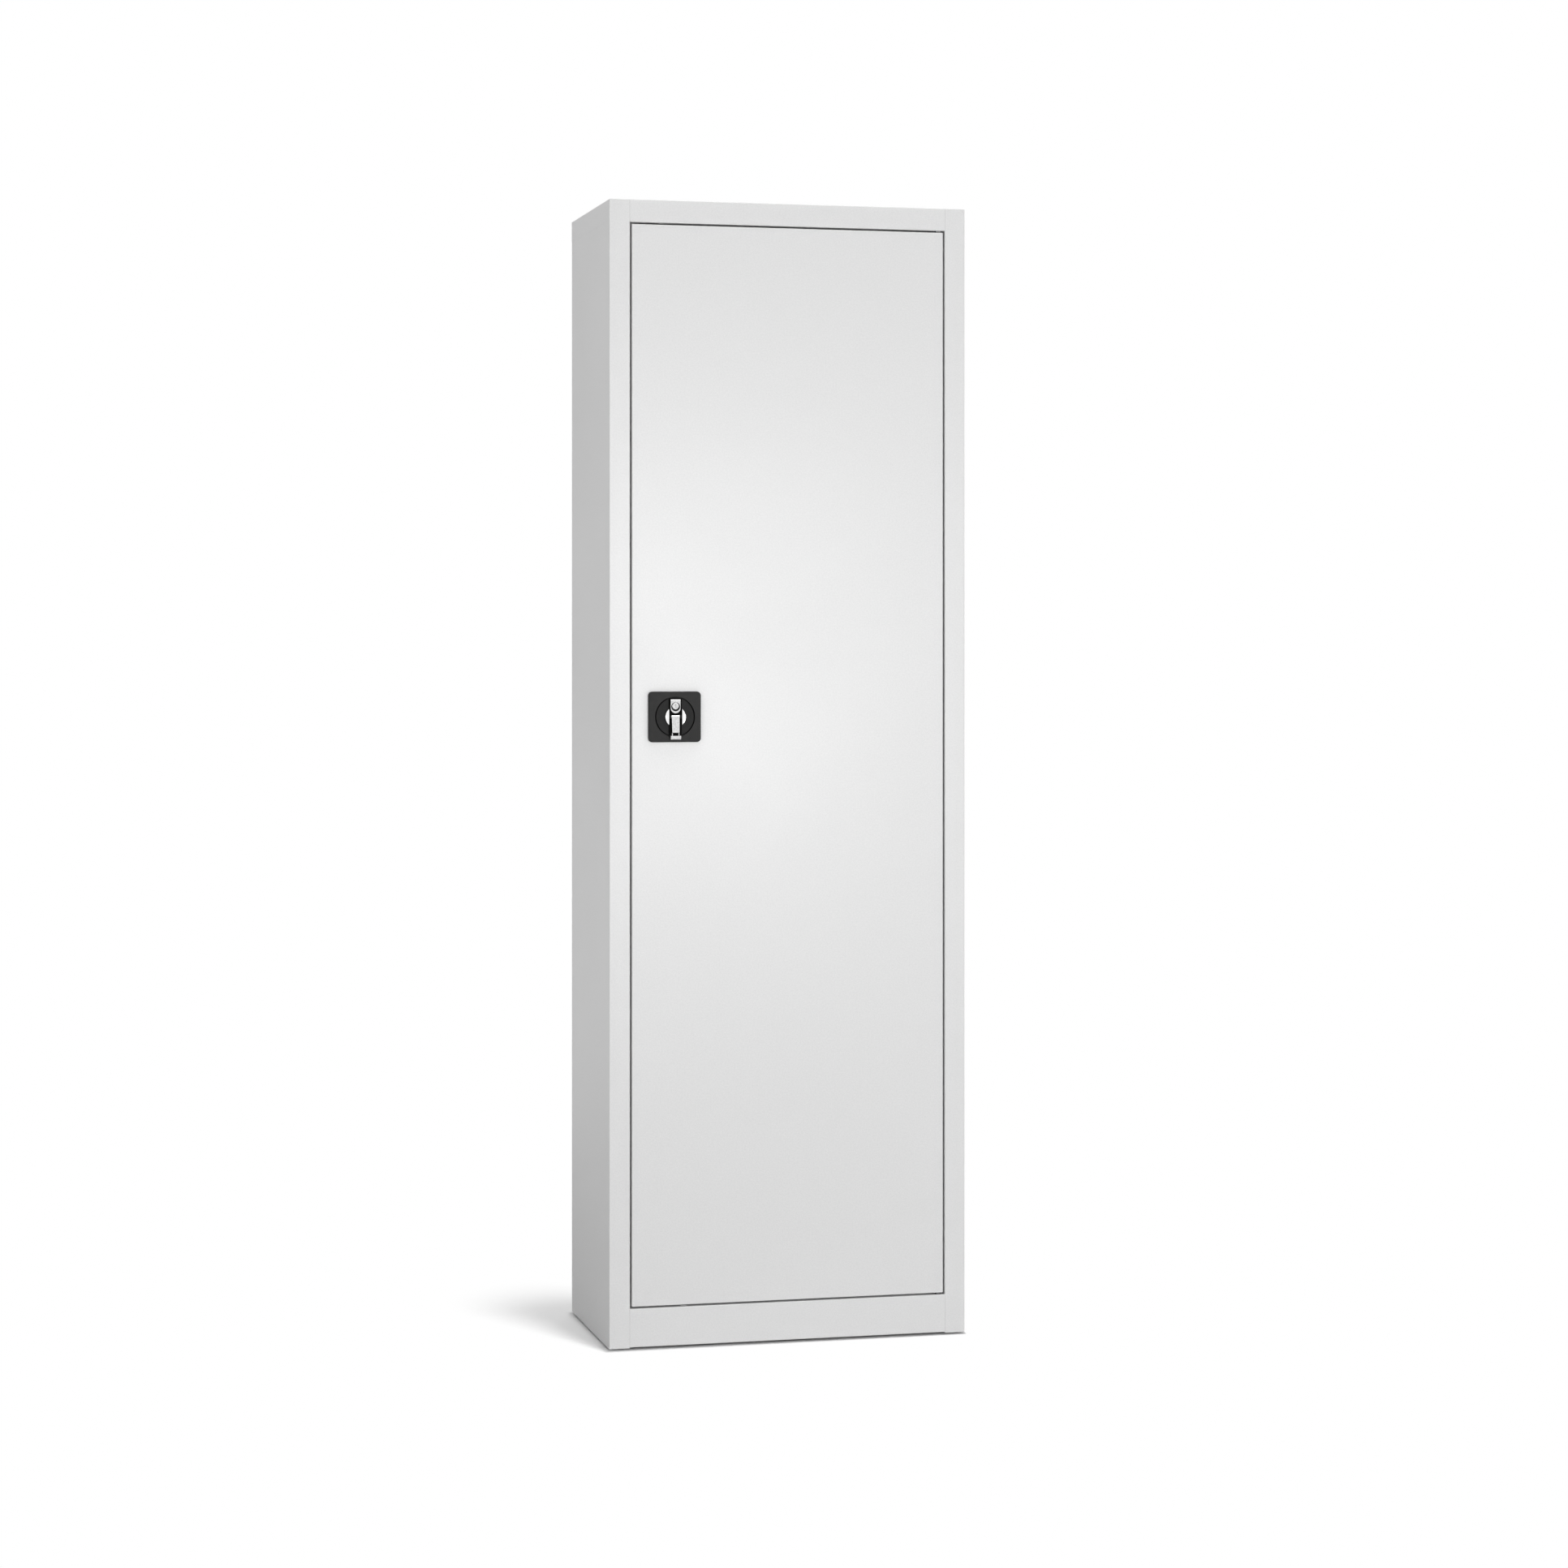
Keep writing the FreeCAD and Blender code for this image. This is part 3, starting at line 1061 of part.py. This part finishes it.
def shelf_brackets():
    """Four angle brackets on the side walls, under the shelf's edges."""
    seat = SHELF_TOP - SHELF_EDGE
    path = [
        (-WALL_INSIDE + BRACKET_LEG, seat),
        (-WALL_INSIDE, seat),
        (-WALL_INSIDE, seat - BRACKET_LEG),
    ]
    front_y = FRONT + SHELF_SETBACK + BRACKET_FROM_ENDS
    back_y = BACK_PANEL_FRONT - SHELF_CLEARANCE - BRACKET_FROM_ENDS - BRACKET_LENGTH
    brackets = []
    for y in (front_y, back_y):
        sweep = Vector(0, BRACKET_LENGTH, 0)
        bracket = folded_sheet(path, BRACKET_THICKNESS, BEND_INSIDE, lambda x, z: Vector(x, y, z), sweep)
        brackets += [bracket, mirror_x(bracket)]
    return Part.makeCompound(brackets)


def hook_places():
    """Hook centres along the rail."""
    first = -HOOK_SPACING * (HOOK_COUNT - 1) / 2
    return [first + HOOK_SPACING * number for number in range(HOOK_COUNT)]


def hook_rail():
    """Channel on the back panel that carries the hooks."""
    half_height = HOOK_RAIL_HEIGHT / 2
    half_length = WALL_INSIDE - HOOK_RAIL_END_GAP
    web = BACK_PANEL_FRONT - HOOK_RAIL_DEPTH
    path = [
        (BACK_PANEL_FRONT, HOOK_RAIL_Z + half_height),
        (web, HOOK_RAIL_Z + half_height),
        (web, HOOK_RAIL_Z - half_height),
        (BACK_PANEL_FRONT, HOOK_RAIL_Z - half_height),
    ]
    sweep = Vector(2 * half_length, 0, 0)
    rail = folded_sheet(path, HOOK_RAIL_SHEET, BEND_INSIDE, lambda y, z: Vector(-half_length, y, z), sweep)
    through = (web - SHEET, web + HOOK_RAIL_SHEET + SHEET)
    holes = [bar_y(RIVET_RADIUS + FIT, x, HOOK_RAIL_Z, through) for x in hook_places()]
    return rail.cut(Part.makeCompound(holes))


def broom_hooks():
    """Hooks bent from flat steel, riveted to the rail."""
    plate = BACK_PANEL_FRONT - HOOK_RAIL_DEPTH
    low = HOOK_RAIL_Z - HOOK_PLATE / 2
    path = [
        (plate - HOOK_REACH - HOOK_LEAN, low + HOOK_RISE),
        (plate - HOOK_REACH, low),
        (plate, low),
        (plate, low + HOOK_PLATE),
    ]
    hooks = []
    for middle in hook_places():
        start = middle - HOOK_WIDTH / 2
        sweep = Vector(HOOK_WIDTH, 0, 0)
        hook = folded_sheet(path, HOOK_STEEL, HOOK_BEND, lambda y, z: Vector(start, y, z), sweep)
        hole = bar_y(RIVET_RADIUS + FIT, middle, HOOK_RAIL_Z, (plate - 2 * HOOK_STEEL, plate + HOOK_STEEL))
        hooks.append(hook.cut(hole))
    return Part.makeCompound(hooks)


def hook_rivets():
    """Rivets through the hooks and the rail."""
    plate = BACK_PANEL_FRONT - HOOK_RAIL_DEPTH
    front = plate - HOOK_STEEL
    back = plate + HOOK_RAIL_SHEET
    rivets = []
    for x in hook_places():
        head = bar_y(RIVET_HEAD_RADIUS, x, HOOK_RAIL_Z, (front - RIVET_HEAD, front))
        shank = bar_y(RIVET_RADIUS, x, HOOK_RAIL_Z, (front, back))
        tail = bar_y(RIVET_HEAD_RADIUS, x, HOOK_RAIL_Z, (back, back + RIVET_HEAD))
        rivets.append(join(head, shank, tail))
    return Part.makeCompound(rivets)


# Every piece under its own name
PIECES = {
    "left_side_panel": left_side_panel(),
    "right_side_panel": right_side_panel(),
    "top_panel": top_panel(),
    "floor_panel": floor_panel(),
    "back_panel": back_panel(),
    "floor_glides": floor_glides(),
    "door_buffers": door_buffers(),
    "top_hinge_pin": hinge_pin(RAIL_UNDERSIDE, DOOR_TOP, -1),
    "bottom_hinge_pin": hinge_pin(PLINTH_TOP, DOOR_BOTTOM, 1),
    "shelf": shelf(),
    "shelf_brackets": shelf_brackets(),
    "hook_rail": hook_rail(),
    "broom_hooks": broom_hooks(),
    "hook_rivets": hook_rivets(),
    "door_skin": door_skin(),
    "door_stiffener": door_stiffener(),
    "hinge_plates": hinge_plates(),
    "top_hinge_bush": hinge_bush(DOOR_TOP, 1),
    "bottom_hinge_bush": hinge_bush(DOOR_BOTTOM, -1),
    "lock_plate": lock_plate(),
    "lock_case": lock_case(),
    "lock_case_cover": lock_case_cover(),
    "lock_screws": lock_screws(),
    "cover_screws": cover_screws(),
    "rod_guides": rod_guides(),
    "lock_rotor": lock_rotor(),
    "lock_hub": lock_hub(),
    "lever_pin": lever_pin(),
    "lever_spacers": lever_spacers(),
    "cylinder_housing": cylinder_housing(),
    "cylinder_ring": cylinder_ring(),
    "drive_spindle": drive_spindle(),
    "drive_pinion": drive_pinion(),
    "latch_cam": latch_cam(),
    "cam_screw": cam_screw(),
    "lock_lever": lock_lever(),
    "key_cylinder": key_cylinder(),
    "top_rod": locking_rod(-1, DOOR_TOP),
    "bottom_rod": locking_rod(1, DOOR_BOTTOM),
}

for name, shape in PIECES.items():
    shape.exportStep(f"parts/{name}.step")
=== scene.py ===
"""Looks of the steel broom cupboard: materials, studio light, floor and camera."""
import json
import math

import bpy
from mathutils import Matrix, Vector


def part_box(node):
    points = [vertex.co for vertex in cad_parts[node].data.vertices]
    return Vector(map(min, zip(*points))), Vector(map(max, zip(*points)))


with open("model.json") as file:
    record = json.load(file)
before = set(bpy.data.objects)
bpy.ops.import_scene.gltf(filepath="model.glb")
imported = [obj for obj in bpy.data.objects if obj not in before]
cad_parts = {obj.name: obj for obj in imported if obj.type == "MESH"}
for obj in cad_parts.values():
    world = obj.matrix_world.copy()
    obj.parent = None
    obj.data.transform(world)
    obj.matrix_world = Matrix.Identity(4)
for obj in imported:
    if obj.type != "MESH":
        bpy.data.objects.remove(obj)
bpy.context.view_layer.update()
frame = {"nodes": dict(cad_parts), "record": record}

# Footprint of the cupboard, the inner edge of its right post and the face of the lock plate, from the frame
FOOT_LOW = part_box("left_side_panel")[0]
FOOT_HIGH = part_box("right_side_panel")[1]
POST_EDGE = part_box("right_side_panel")[0][0]
PLATE_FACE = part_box("lock_plate")[0][1]

# Camera, in metres, degrees and millimetres: level, a little to the left, with the lens shifted down
CAMERA_PLACE = (-1.3872, -5.7038, 1.1483)
CAMERA_TURN = 13.958
CAMERA_SENSOR = 36.0
CAMERA_LENS = 80.775
CAMERA_SHIFT = -0.0945

# Strength of the faint even light from all round
SKY_LIGHT = 0.04
# Softboxes: the place, the point it faces, the length of a side in metres and the power in watts. The
# first two make the door's broad highlight, and the last one lights the back.
SOFTBOXES = {
    "front_softbox": ((0.76, -4.5, 1.05), (0.0, -0.16, 1.05), 0.8, 36.5),
    "wide_softbox": ((0.55, -4.5, 1.10), (0.0, -0.16, 1.10), 0.9, 19.5),
    "key_softbox": ((3.0, -2.6, 1.4), (0.0, 0.0, 0.9), 2.0, 30.0),
    "fill_softbox": ((-3.2, -3.4, 1.6), (0.0, 0.0, 1.0), 2.0, 36.0),
    "side_softbox": ((-4.0, -1.5, 2.2), (0.0, 0.0, 1.0), 2.5, 24.5),
    "top_softbox": ((0.0, -0.6, 5.0), (0.0, 0.0, 0.0), 3.0, 106.0),
    "back_softbox": ((1.4, 4.2, 1.1), (0.0, 0.0, 0.9), 2.0, 75.0),
}

# Floor: half a side, its paint, the lift it is seen with beside the cupboard's front and back, and the
# distances from the footprint over which the lift comes in and the mirrored floor fades to white
FLOOR_HALF = 14.0
FLOOR_PAINT = 0.90
FLOOR_LIFT = (0.12, 0.20)
LIFT_START = (0.0, 0.012)
MIRROR_FADE = (0.0, 4.20)

# Shadow: its reach at the left and the right of the front, how fast it widens to the back on each side, and
# the shares of the reach between which it fades to white
SHADOW_REACH = (0.012, 0.004)
SHADOW_SPREAD = (0.44, 0.10)
SHADOW_FADE = (0.25, 1.10)

# Painted shade of the weld seams beside the rail and the plinth: how far out from the post's edge they lie,
# the distances from a seam over which the shade fades, and the share of the coat's colour left on it
SEAM_OUT = 0.0006
SEAM_FADE = (0.0003, 0.0007)
SEAM_PAINTED_SHADE = 0.86

# Lock: the slope by which its polished faces lean back, the depths below the plate's face over which the
# rotor turns dull, and the roughness that this adds
CHROME_LEAN = 0.14
DULL_DEPTH = (0.0004, 0.0016)
DULL_ROUGHNESS = 0.5

# Most of a noise lies between these values
NOISE_RANGE = (0.3, 0.7)
WHITE = (1.0, 1.0, 1.0, 1.0)


# Node helpers
class Nodes:
    """Short forms for building one node tree."""

    def __init__(self, tree):
        self.tree = tree
        tree.nodes.clear()

    def add(self, kind, inputs=None, **settings):
        """New node with its settings and inputs; an input is a value or another node's output."""
        node = self.tree.nodes.new(kind)
        for name, value in settings.items():
            setattr(node, name, value)
        for name, value in (inputs or {}).items():
            socket = node.inputs[name]
            if isinstance(value, bpy.types.NodeSocket):
                self.tree.links.new(value, socket)
            else:
                socket.default_value = value
        return node

    def noise(self, place, scale, detail=2.0, roughness=0.5):
        """Noise at a scale in cells per metre."""
        inputs = {"Vector": place, "Scale": scale, "Detail": detail, "Roughness": roughness}
        return self.add("ShaderNodeTexNoise", inputs).outputs["Fac"]

    def between(self, value, start, end, low, high, shape="LINEAR"):
        """A value's range from start to end mapped to the range from low to high."""
        inputs = {"Value": value, "From Min": start, "From Max": end, "To Min": low, "To Max": high}
        return self.add("ShaderNodeMapRange", inputs, interpolation_type=shape).outputs["Result"]

    def spread(self, noise, low, high):
        """The main range of a noise stretched between two values."""
        return self.between(noise, *NOISE_RANGE, low, high)

    def tint(self, noise, dark, light):
        """The main range of a noise as a colour between two colours."""
        ramp = self.add("ShaderNodeValToRGB", {"Fac": noise})
        for element, position, colour in zip(ramp.color_ramp.elements, NOISE_RANGE, (dark, light)):
            element.position = position
            element.color = (*colour, 1.0)
        return ramp.outputs["Color"]

    def shaded(self, colour, share):
        """A colour times a share."""
        inputs = {0: colour, "Scale": share}
        return self.add("ShaderNodeVectorMath", inputs, operation="SCALE").outputs["Vector"]

    def math(self, operation, first, second=0.0):
        """Result of an operation on one value or two."""
        node = self.add("ShaderNodeMath", {0: first, 1: second}, operation=operation)
        return node.outputs["Value"]

    def vector(self, operation, first, second=(0.0, 0.0, 0.0)):
        """Result of an operation on one vector or two."""
        node = self.add("ShaderNodeVectorMath", {0: first, 1: second}, operation=operation)
        return node.outputs["Vector"]

    def axes(self, place):
        """The coordinates of a place, by the names X, Y and Z."""
        return self.add("ShaderNodeSeparateXYZ", {"Vector": place}).outputs

    def bump(self, height, strength, distance, normal=None):
        """Bumped normal from a height."""
        inputs = {"Height": height, "Strength": strength, "Distance": distance}
        if normal is not None:
            inputs["Normal"] = normal
        return self.add("ShaderNodeBump", inputs).outputs["Normal"]


def new_material(name):
    """Empty node material, with its tree and the place on the object in metres."""
    material = bpy.data.materials.new(name)
    material.use_nodes = True
    tree = Nodes(material.node_tree)
    place = tree.add("ShaderNodeTexCoord").outputs["Object"]
    return material, tree, place


def finish_material(tree, inputs):
    """Principled surface on the material's output."""
    surface = tree.add("ShaderNodeBsdfPrincipled", inputs)
    tree.add("ShaderNodeOutputMaterial", {"Surface": surface.outputs["BSDF"]})


def grey(level):
    """Neutral colour of a level."""
    return (level, level, level)


# Materials
def painted_seam_shade(tree, place):
    """Share of the coat's colour that is left: less along the weld seams of the front, as painted shade."""
    axes = tree.axes(place)
    from_middle = tree.math("ABSOLUTE", axes["X"])
    off_line = tree.math("ABSOLUTE", tree.math("SUBTRACT", from_middle, POST_EDGE + SEAM_OUT))
    behind = tree.math("SUBTRACT", axes["Y"], FOOT_LOW[1])
    return tree.between(tree.math("MAXIMUM", off_line, behind), *SEAM_FADE, SEAM_PAINTED_SHADE, 1.0)


def powder_coat(name, seam_shaded=False):
    """Light grey powder coat: fine grain, soft orange peel and a satin shine, and painted seam shade if
    asked.
    """
    material, tree, place = new_material(name)
    grain = tree.noise(place, scale=400.0, detail=3.0, roughness=0.6)
    peel = tree.noise(place, scale=210.0)
    cloud = tree.noise(place, scale=3.0)
    colour = tree.tint(grain, dark=(0.715, 0.716, 0.718), light=(0.765, 0.765, 0.764))
    # Painted shade along the weld seams: the coat's colour darkened there
    if seam_shaded:
        colour = tree.shaded(colour, painted_seam_shade(tree, place))
    relief = tree.bump(peel, strength=0.10, distance=0.0006)
    relief = tree.bump(grain, strength=0.16, distance=0.0003, normal=relief)
    finish_material(tree, {
        "Base Color": colour,
        "Roughness": tree.spread(cloud, low=0.31, high=0.35),
        "Normal": relief,
    })
    return material


def plated_steel(name, dark, light):
    """Plated steel with a faint bloom and rolling marks."""
    material, tree, place = new_material(name)
    bloom = tree.noise(place, scale=55.0, detail=4.0, roughness=0.6)
    stretched = tree.vector("MULTIPLY", place, (900.0, 900.0, 60.0))
    marks = tree.noise(stretched, scale=1.0, detail=3.0, roughness=0.6)
    finish_material(tree, {
        "Base Color": tree.tint(bloom, dark, light),
        "Metallic": 1.0,
        "Roughness": tree.spread(marks, low=0.27, high=0.42),
        "Normal": tree.bump(marks, strength=0.12, distance=0.0002),
    })
    return material


def black_plastic():
    """Black moulding with a fine sparked grain."""
    material, tree, place = new_material("black_moulding")
    grain = tree.noise(place, scale=1500.0)
    wide = tree.noise(place, scale=90.0, detail=3.0)
    finish_material(tree, {
        "Base Color": tree.tint(wide, dark=(0.017, 0.017, 0.0168), light=(0.022, 0.0218, 0.0213)),
        "Specular IOR Level": 0.18,
        "Roughness": tree.spread(grain, low=0.46, high=0.60),
        "Normal": tree.bump(grain, strength=0.25, distance=0.0002),
    })
    return material


def dark_plastic():
    """Smooth black moulding of the rotor, dull where it lies below the plate's face."""
    material, tree, place = new_material("rotor_moulding")
    grain = tree.noise(place, scale=2200.0)
    pores = tree.noise(place, scale=1800.0)
    wide = tree.noise(place, scale=110.0, detail=3.0)
    depth = tree.math("SUBTRACT", tree.axes(place)["Y"], PLATE_FACE)
    dull = tree.between(depth, *DULL_DEPTH, 0.0, DULL_ROUGHNESS)
    finish_material(tree, {
        "Base Color": tree.tint(wide, dark=(0.008, 0.008, 0.0079), light=(0.012, 0.0119, 0.0116)),
        "Specular IOR Level": 0.13,
        "Roughness": tree.math("ADD", tree.spread(grain, low=0.42, high=0.54), dull),
        "Normal": tree.bump(pores, strength=0.15, distance=0.0002),
    })
    return material


def chrome(name, dark, light):
    """Polished chrome on a casting: faces that lean back a little, slight waves and a little haze."""
    material, tree, place = new_material(name)
    waves = tree.noise(place, scale=170.0)
    haze = tree.noise(place, scale=420.0, detail=4.0, roughness=0.6)
    slope = tree.math("MULTIPLY", tree.axes(place)["Z"], -CHROME_LEAN)
    leaning = tree.bump(slope, strength=1.0, distance=1.0)
    finish_material(tree, {
        "Base Color": tree.tint(haze, grey(dark), grey(light)),
        "Metallic": 1.0,
        "Roughness": tree.spread(haze, low=0.04, high=0.10),
        "Normal": tree.bump(waves, strength=0.08, distance=0.0005, normal=leaning),
    })
    return material


def nylon():
    """Grey nylon, slightly cloudy."""
    material, tree, place = new_material("grey_nylon")
    cloud = tree.noise(place, scale=130.0, detail=3.0)
    grain = tree.noise(place, scale=900.0)
    finish_material(tree, {
        "Base Color": tree.tint(cloud, dark=(0.12, 0.12, 0.118), light=(0.17, 0.17, 0.168)),
        "Roughness": tree.spread(cloud, low=0.36, high=0.48),
        "Normal": tree.bump(grain, strength=0.10, distance=0.0002),
    })
    return material


def dull_black(name, tones, roughness):
    """Black plastic or rubber without shine, between two dark tones and two values of roughness."""
    material, tree, place = new_material(name)
    grain = tree.noise(place, scale=700.0, detail=3.0)
    finish_material(tree, {
        "Base Color": tree.tint(grain, *map(grey, tones)),
        "Roughness": tree.spread(grain, *roughness),
        "Normal": tree.bump(grain, strength=0.20, distance=0.0003),
    })
    return material


# Dressing: a material for each of the record's slots, and one for each piece that differs from its slot
MATERIALS = {
    "powder_coat": powder_coat("powder_coat_light_grey"),
    "zinc_steel": plated_steel("zinc_plated_steel", dark=(0.50, 0.52, 0.55), light=(0.66, 0.66, 0.65)),
    "dark_steel": plated_steel("blackened_steel", dark=(0.14, 0.14, 0.145), light=(0.22, 0.22, 0.22)),
    "black_plastic": black_plastic(),
    "dark_plastic": dark_plastic(),
    "chrome": chrome("chrome_plate", dark=0.62, light=0.80),
    "nylon": nylon(),
    "glide_plastic": dull_black("glide_black", tones=(0.012, 0.022), roughness=(0.49, 0.61)),
    "rubber": dull_black("black_rubber", tones=(0.014, 0.024), roughness=(0.66, 0.78)),
}
# Powder coat with painted shade along the weld seams, for the top and the floor panel
seam_shaded_coat = powder_coat("powder_coat_with_painted_seam_shade", seam_shaded=True)
OWN_MATERIALS = {
    "lock_hub": chrome("bright_chrome_plate", dark=0.88, light=0.97),
    "top_panel": seam_shaded_coat,
    "floor_panel": seam_shaded_coat,
}
for part in frame["record"]["subparts"]:
    slots = frame["nodes"][part["node"]].data.materials
    for index in range(len(slots)):
        slots[index] = OWN_MATERIALS.get(part["node"], MATERIALS[part["material_slot"]])


# Floor, light and camera
def shown_rays(tree):
    """1 for rays seen directly, and 1 for rays mirrored or seen through glass."""
    path = tree.add("ShaderNodeLightPath").outputs
    return path["Is Camera Ray"], tree.math("MAXIMUM", path["Is Glossy Ray"], path["Is Transmission Ray"])


def foot_distance(tree, place):
    """Distance along the floor from the cupboard's footprint."""
    middle = ((FOOT_LOW[0] + FOOT_HIGH[0]) / 2, (FOOT_LOW[1] + FOOT_HIGH[1]) / 2, 0.0)
    half = ((FOOT_HIGH[0] - FOOT_LOW[0]) / 2, (FOOT_HIGH[1] - FOOT_LOW[1]) / 2, 0.0)
    from_middle = tree.vector("ABSOLUTE", tree.vector("SUBTRACT", place, middle))
    beyond = tree.vector("MAXIMUM", tree.vector("SUBTRACT", from_middle, half))
    return tree.add("ShaderNodeVectorMath", {0: beyond}, operation="LENGTH").outputs["Value"]


def shadow_reach(tree, axes):
    """How far the shadow reaches: more towards the back, and most on the left."""
    start = tree.between(axes["X"], FOOT_LOW[0], FOOT_HIGH[0], *SHADOW_REACH)
    rate = tree.between(axes["X"], FOOT_LOW[0], FOOT_HIGH[0], *SHADOW_SPREAD)
    behind = tree.math("MAXIMUM", tree.math("SUBTRACT", axes["Y"], FOOT_LOW[1]))
    return tree.math("ADD", start, tree.math("MULTIPLY", behind, rate))


def floor_lift(tree, axes, away):
    """Light added to the floor that is seen: none at the foot, and more beside the back."""
    level = tree.between(axes["Y"], FOOT_LOW[1], FOOT_HIGH[1], *FLOOR_LIFT)
    return tree.math("MULTIPLY", level, tree.between(away, *LIFT_START, 0.0, 1.0))


def floor_white():
    """White paint that keeps the cupboard's shadow, and is seen as plain white past it."""
    material, tree, place = new_material("studio_floor_white")
    seen, mirrored = shown_rays(tree)
    axes = tree.axes(place)
    away = foot_distance(tree, place)
    share = tree.math("DIVIDE", away, shadow_reach(tree, axes))
    past_shadow = tree.between(share, *SHADOW_FADE, 0.0, 1.0, shape="SMOOTHSTEP")
    past_mirror = tree.between(away, *MIRROR_FADE, 0.0, 1.0, shape="SMOOTHSTEP")
    plain_seen = tree.math("MULTIPLY", seen, past_shadow)
    plain_mirrored = tree.math("MULTIPLY", mirrored, past_mirror)
    paint = tree.add("ShaderNodeBsdfDiffuse", {"Color": (*grey(FLOOR_PAINT), 1.0)})
    added = tree.math("MULTIPLY", seen, floor_lift(tree, axes, away))
    lift = tree.add("ShaderNodeEmission", {"Strength": added})
    lifted = tree.add("ShaderNodeAddShader", {0: paint.outputs["BSDF"], 1: lift.outputs["Emission"]})
    white = tree.add("ShaderNodeEmission", {"Color": WHITE, "Strength": 1.0})
    plain = tree.math("ADD", plain_seen, plain_mirrored)
    inputs = {0: plain, 1: lifted.outputs["Shader"], 2: white.outputs["Emission"]}
    mixed = tree.add("ShaderNodeMixShader", inputs)
    tree.add("ShaderNodeOutputMaterial", {"Surface": mixed.outputs["Shader"]})
    return material


def make_floor():
    """Plain square floor below the cupboard."""
    mesh = bpy.data.meshes.new("studio_floor")
    corners = [(x * FLOOR_HALF, y * FLOOR_HALF, 0.0) for x, y in ((-1, -1), (1, -1), (1, 1), (-1, 1))]
    mesh.from_pydata(corners, [], [(0, 1, 2, 3)])
    mesh.materials.append(floor_white())
    floor = bpy.data.objects.new("studio_floor", mesh)
    bpy.context.scene.collection.objects.link(floor)


def make_world():
    """White background, and an even soft light from all round."""
    world = bpy.data.worlds.new("studio_world")
    bpy.context.scene.world = world
    world.use_nodes = True
    tree = Nodes(world.node_tree)
    light = tree.add("ShaderNodeBackground", {"Color": WHITE, "Strength": SKY_LIGHT})
    white = tree.add("ShaderNodeBackground", {"Color": WHITE, "Strength": 1.0})
    shown = tree.math("ADD", *shown_rays(tree))
    inputs = {0: shown, 1: light.outputs["Background"], 2: white.outputs["Background"]}
    mixed = tree.add("ShaderNodeMixShader", inputs)
    tree.add("ShaderNodeOutputWorld", {"Surface": mixed.outputs["Shader"]})


def make_softbox(name, place, target, side, power):
    """Square softbox that faces a point."""
    data = bpy.data.lights.new(name, "AREA")
    data.shape = "SQUARE"
    data.size = side
    data.energy = power
    light = bpy.data.objects.new(name, data)
    light.location = place
    light.rotation_euler = (Vector(target) - Vector(place)).to_track_quat("-Z", "Y").to_euler()
    light.visible_camera = False
    bpy.context.scene.collection.objects.link(light)


def make_camera():
    """Level camera at the photo's place."""
    data = bpy.data.cameras.new("camera")
    data.sensor_width = CAMERA_SENSOR
    data.lens = CAMERA_LENS
    data.shift_y = CAMERA_SHIFT
    camera = bpy.data.objects.new("camera", data)
    camera.location = CAMERA_PLACE
    camera.rotation_euler = (math.radians(90.0), 0.0, -math.radians(CAMERA_TURN))
    bpy.context.scene.collection.objects.link(camera)
    bpy.context.scene.camera = camera


make_floor()
make_world()
for softbox, settings in SOFTBOXES.items():
    make_softbox(softbox, *settings)
make_camera()
bpy.context.scene.view_settings.view_transform = "Standard"
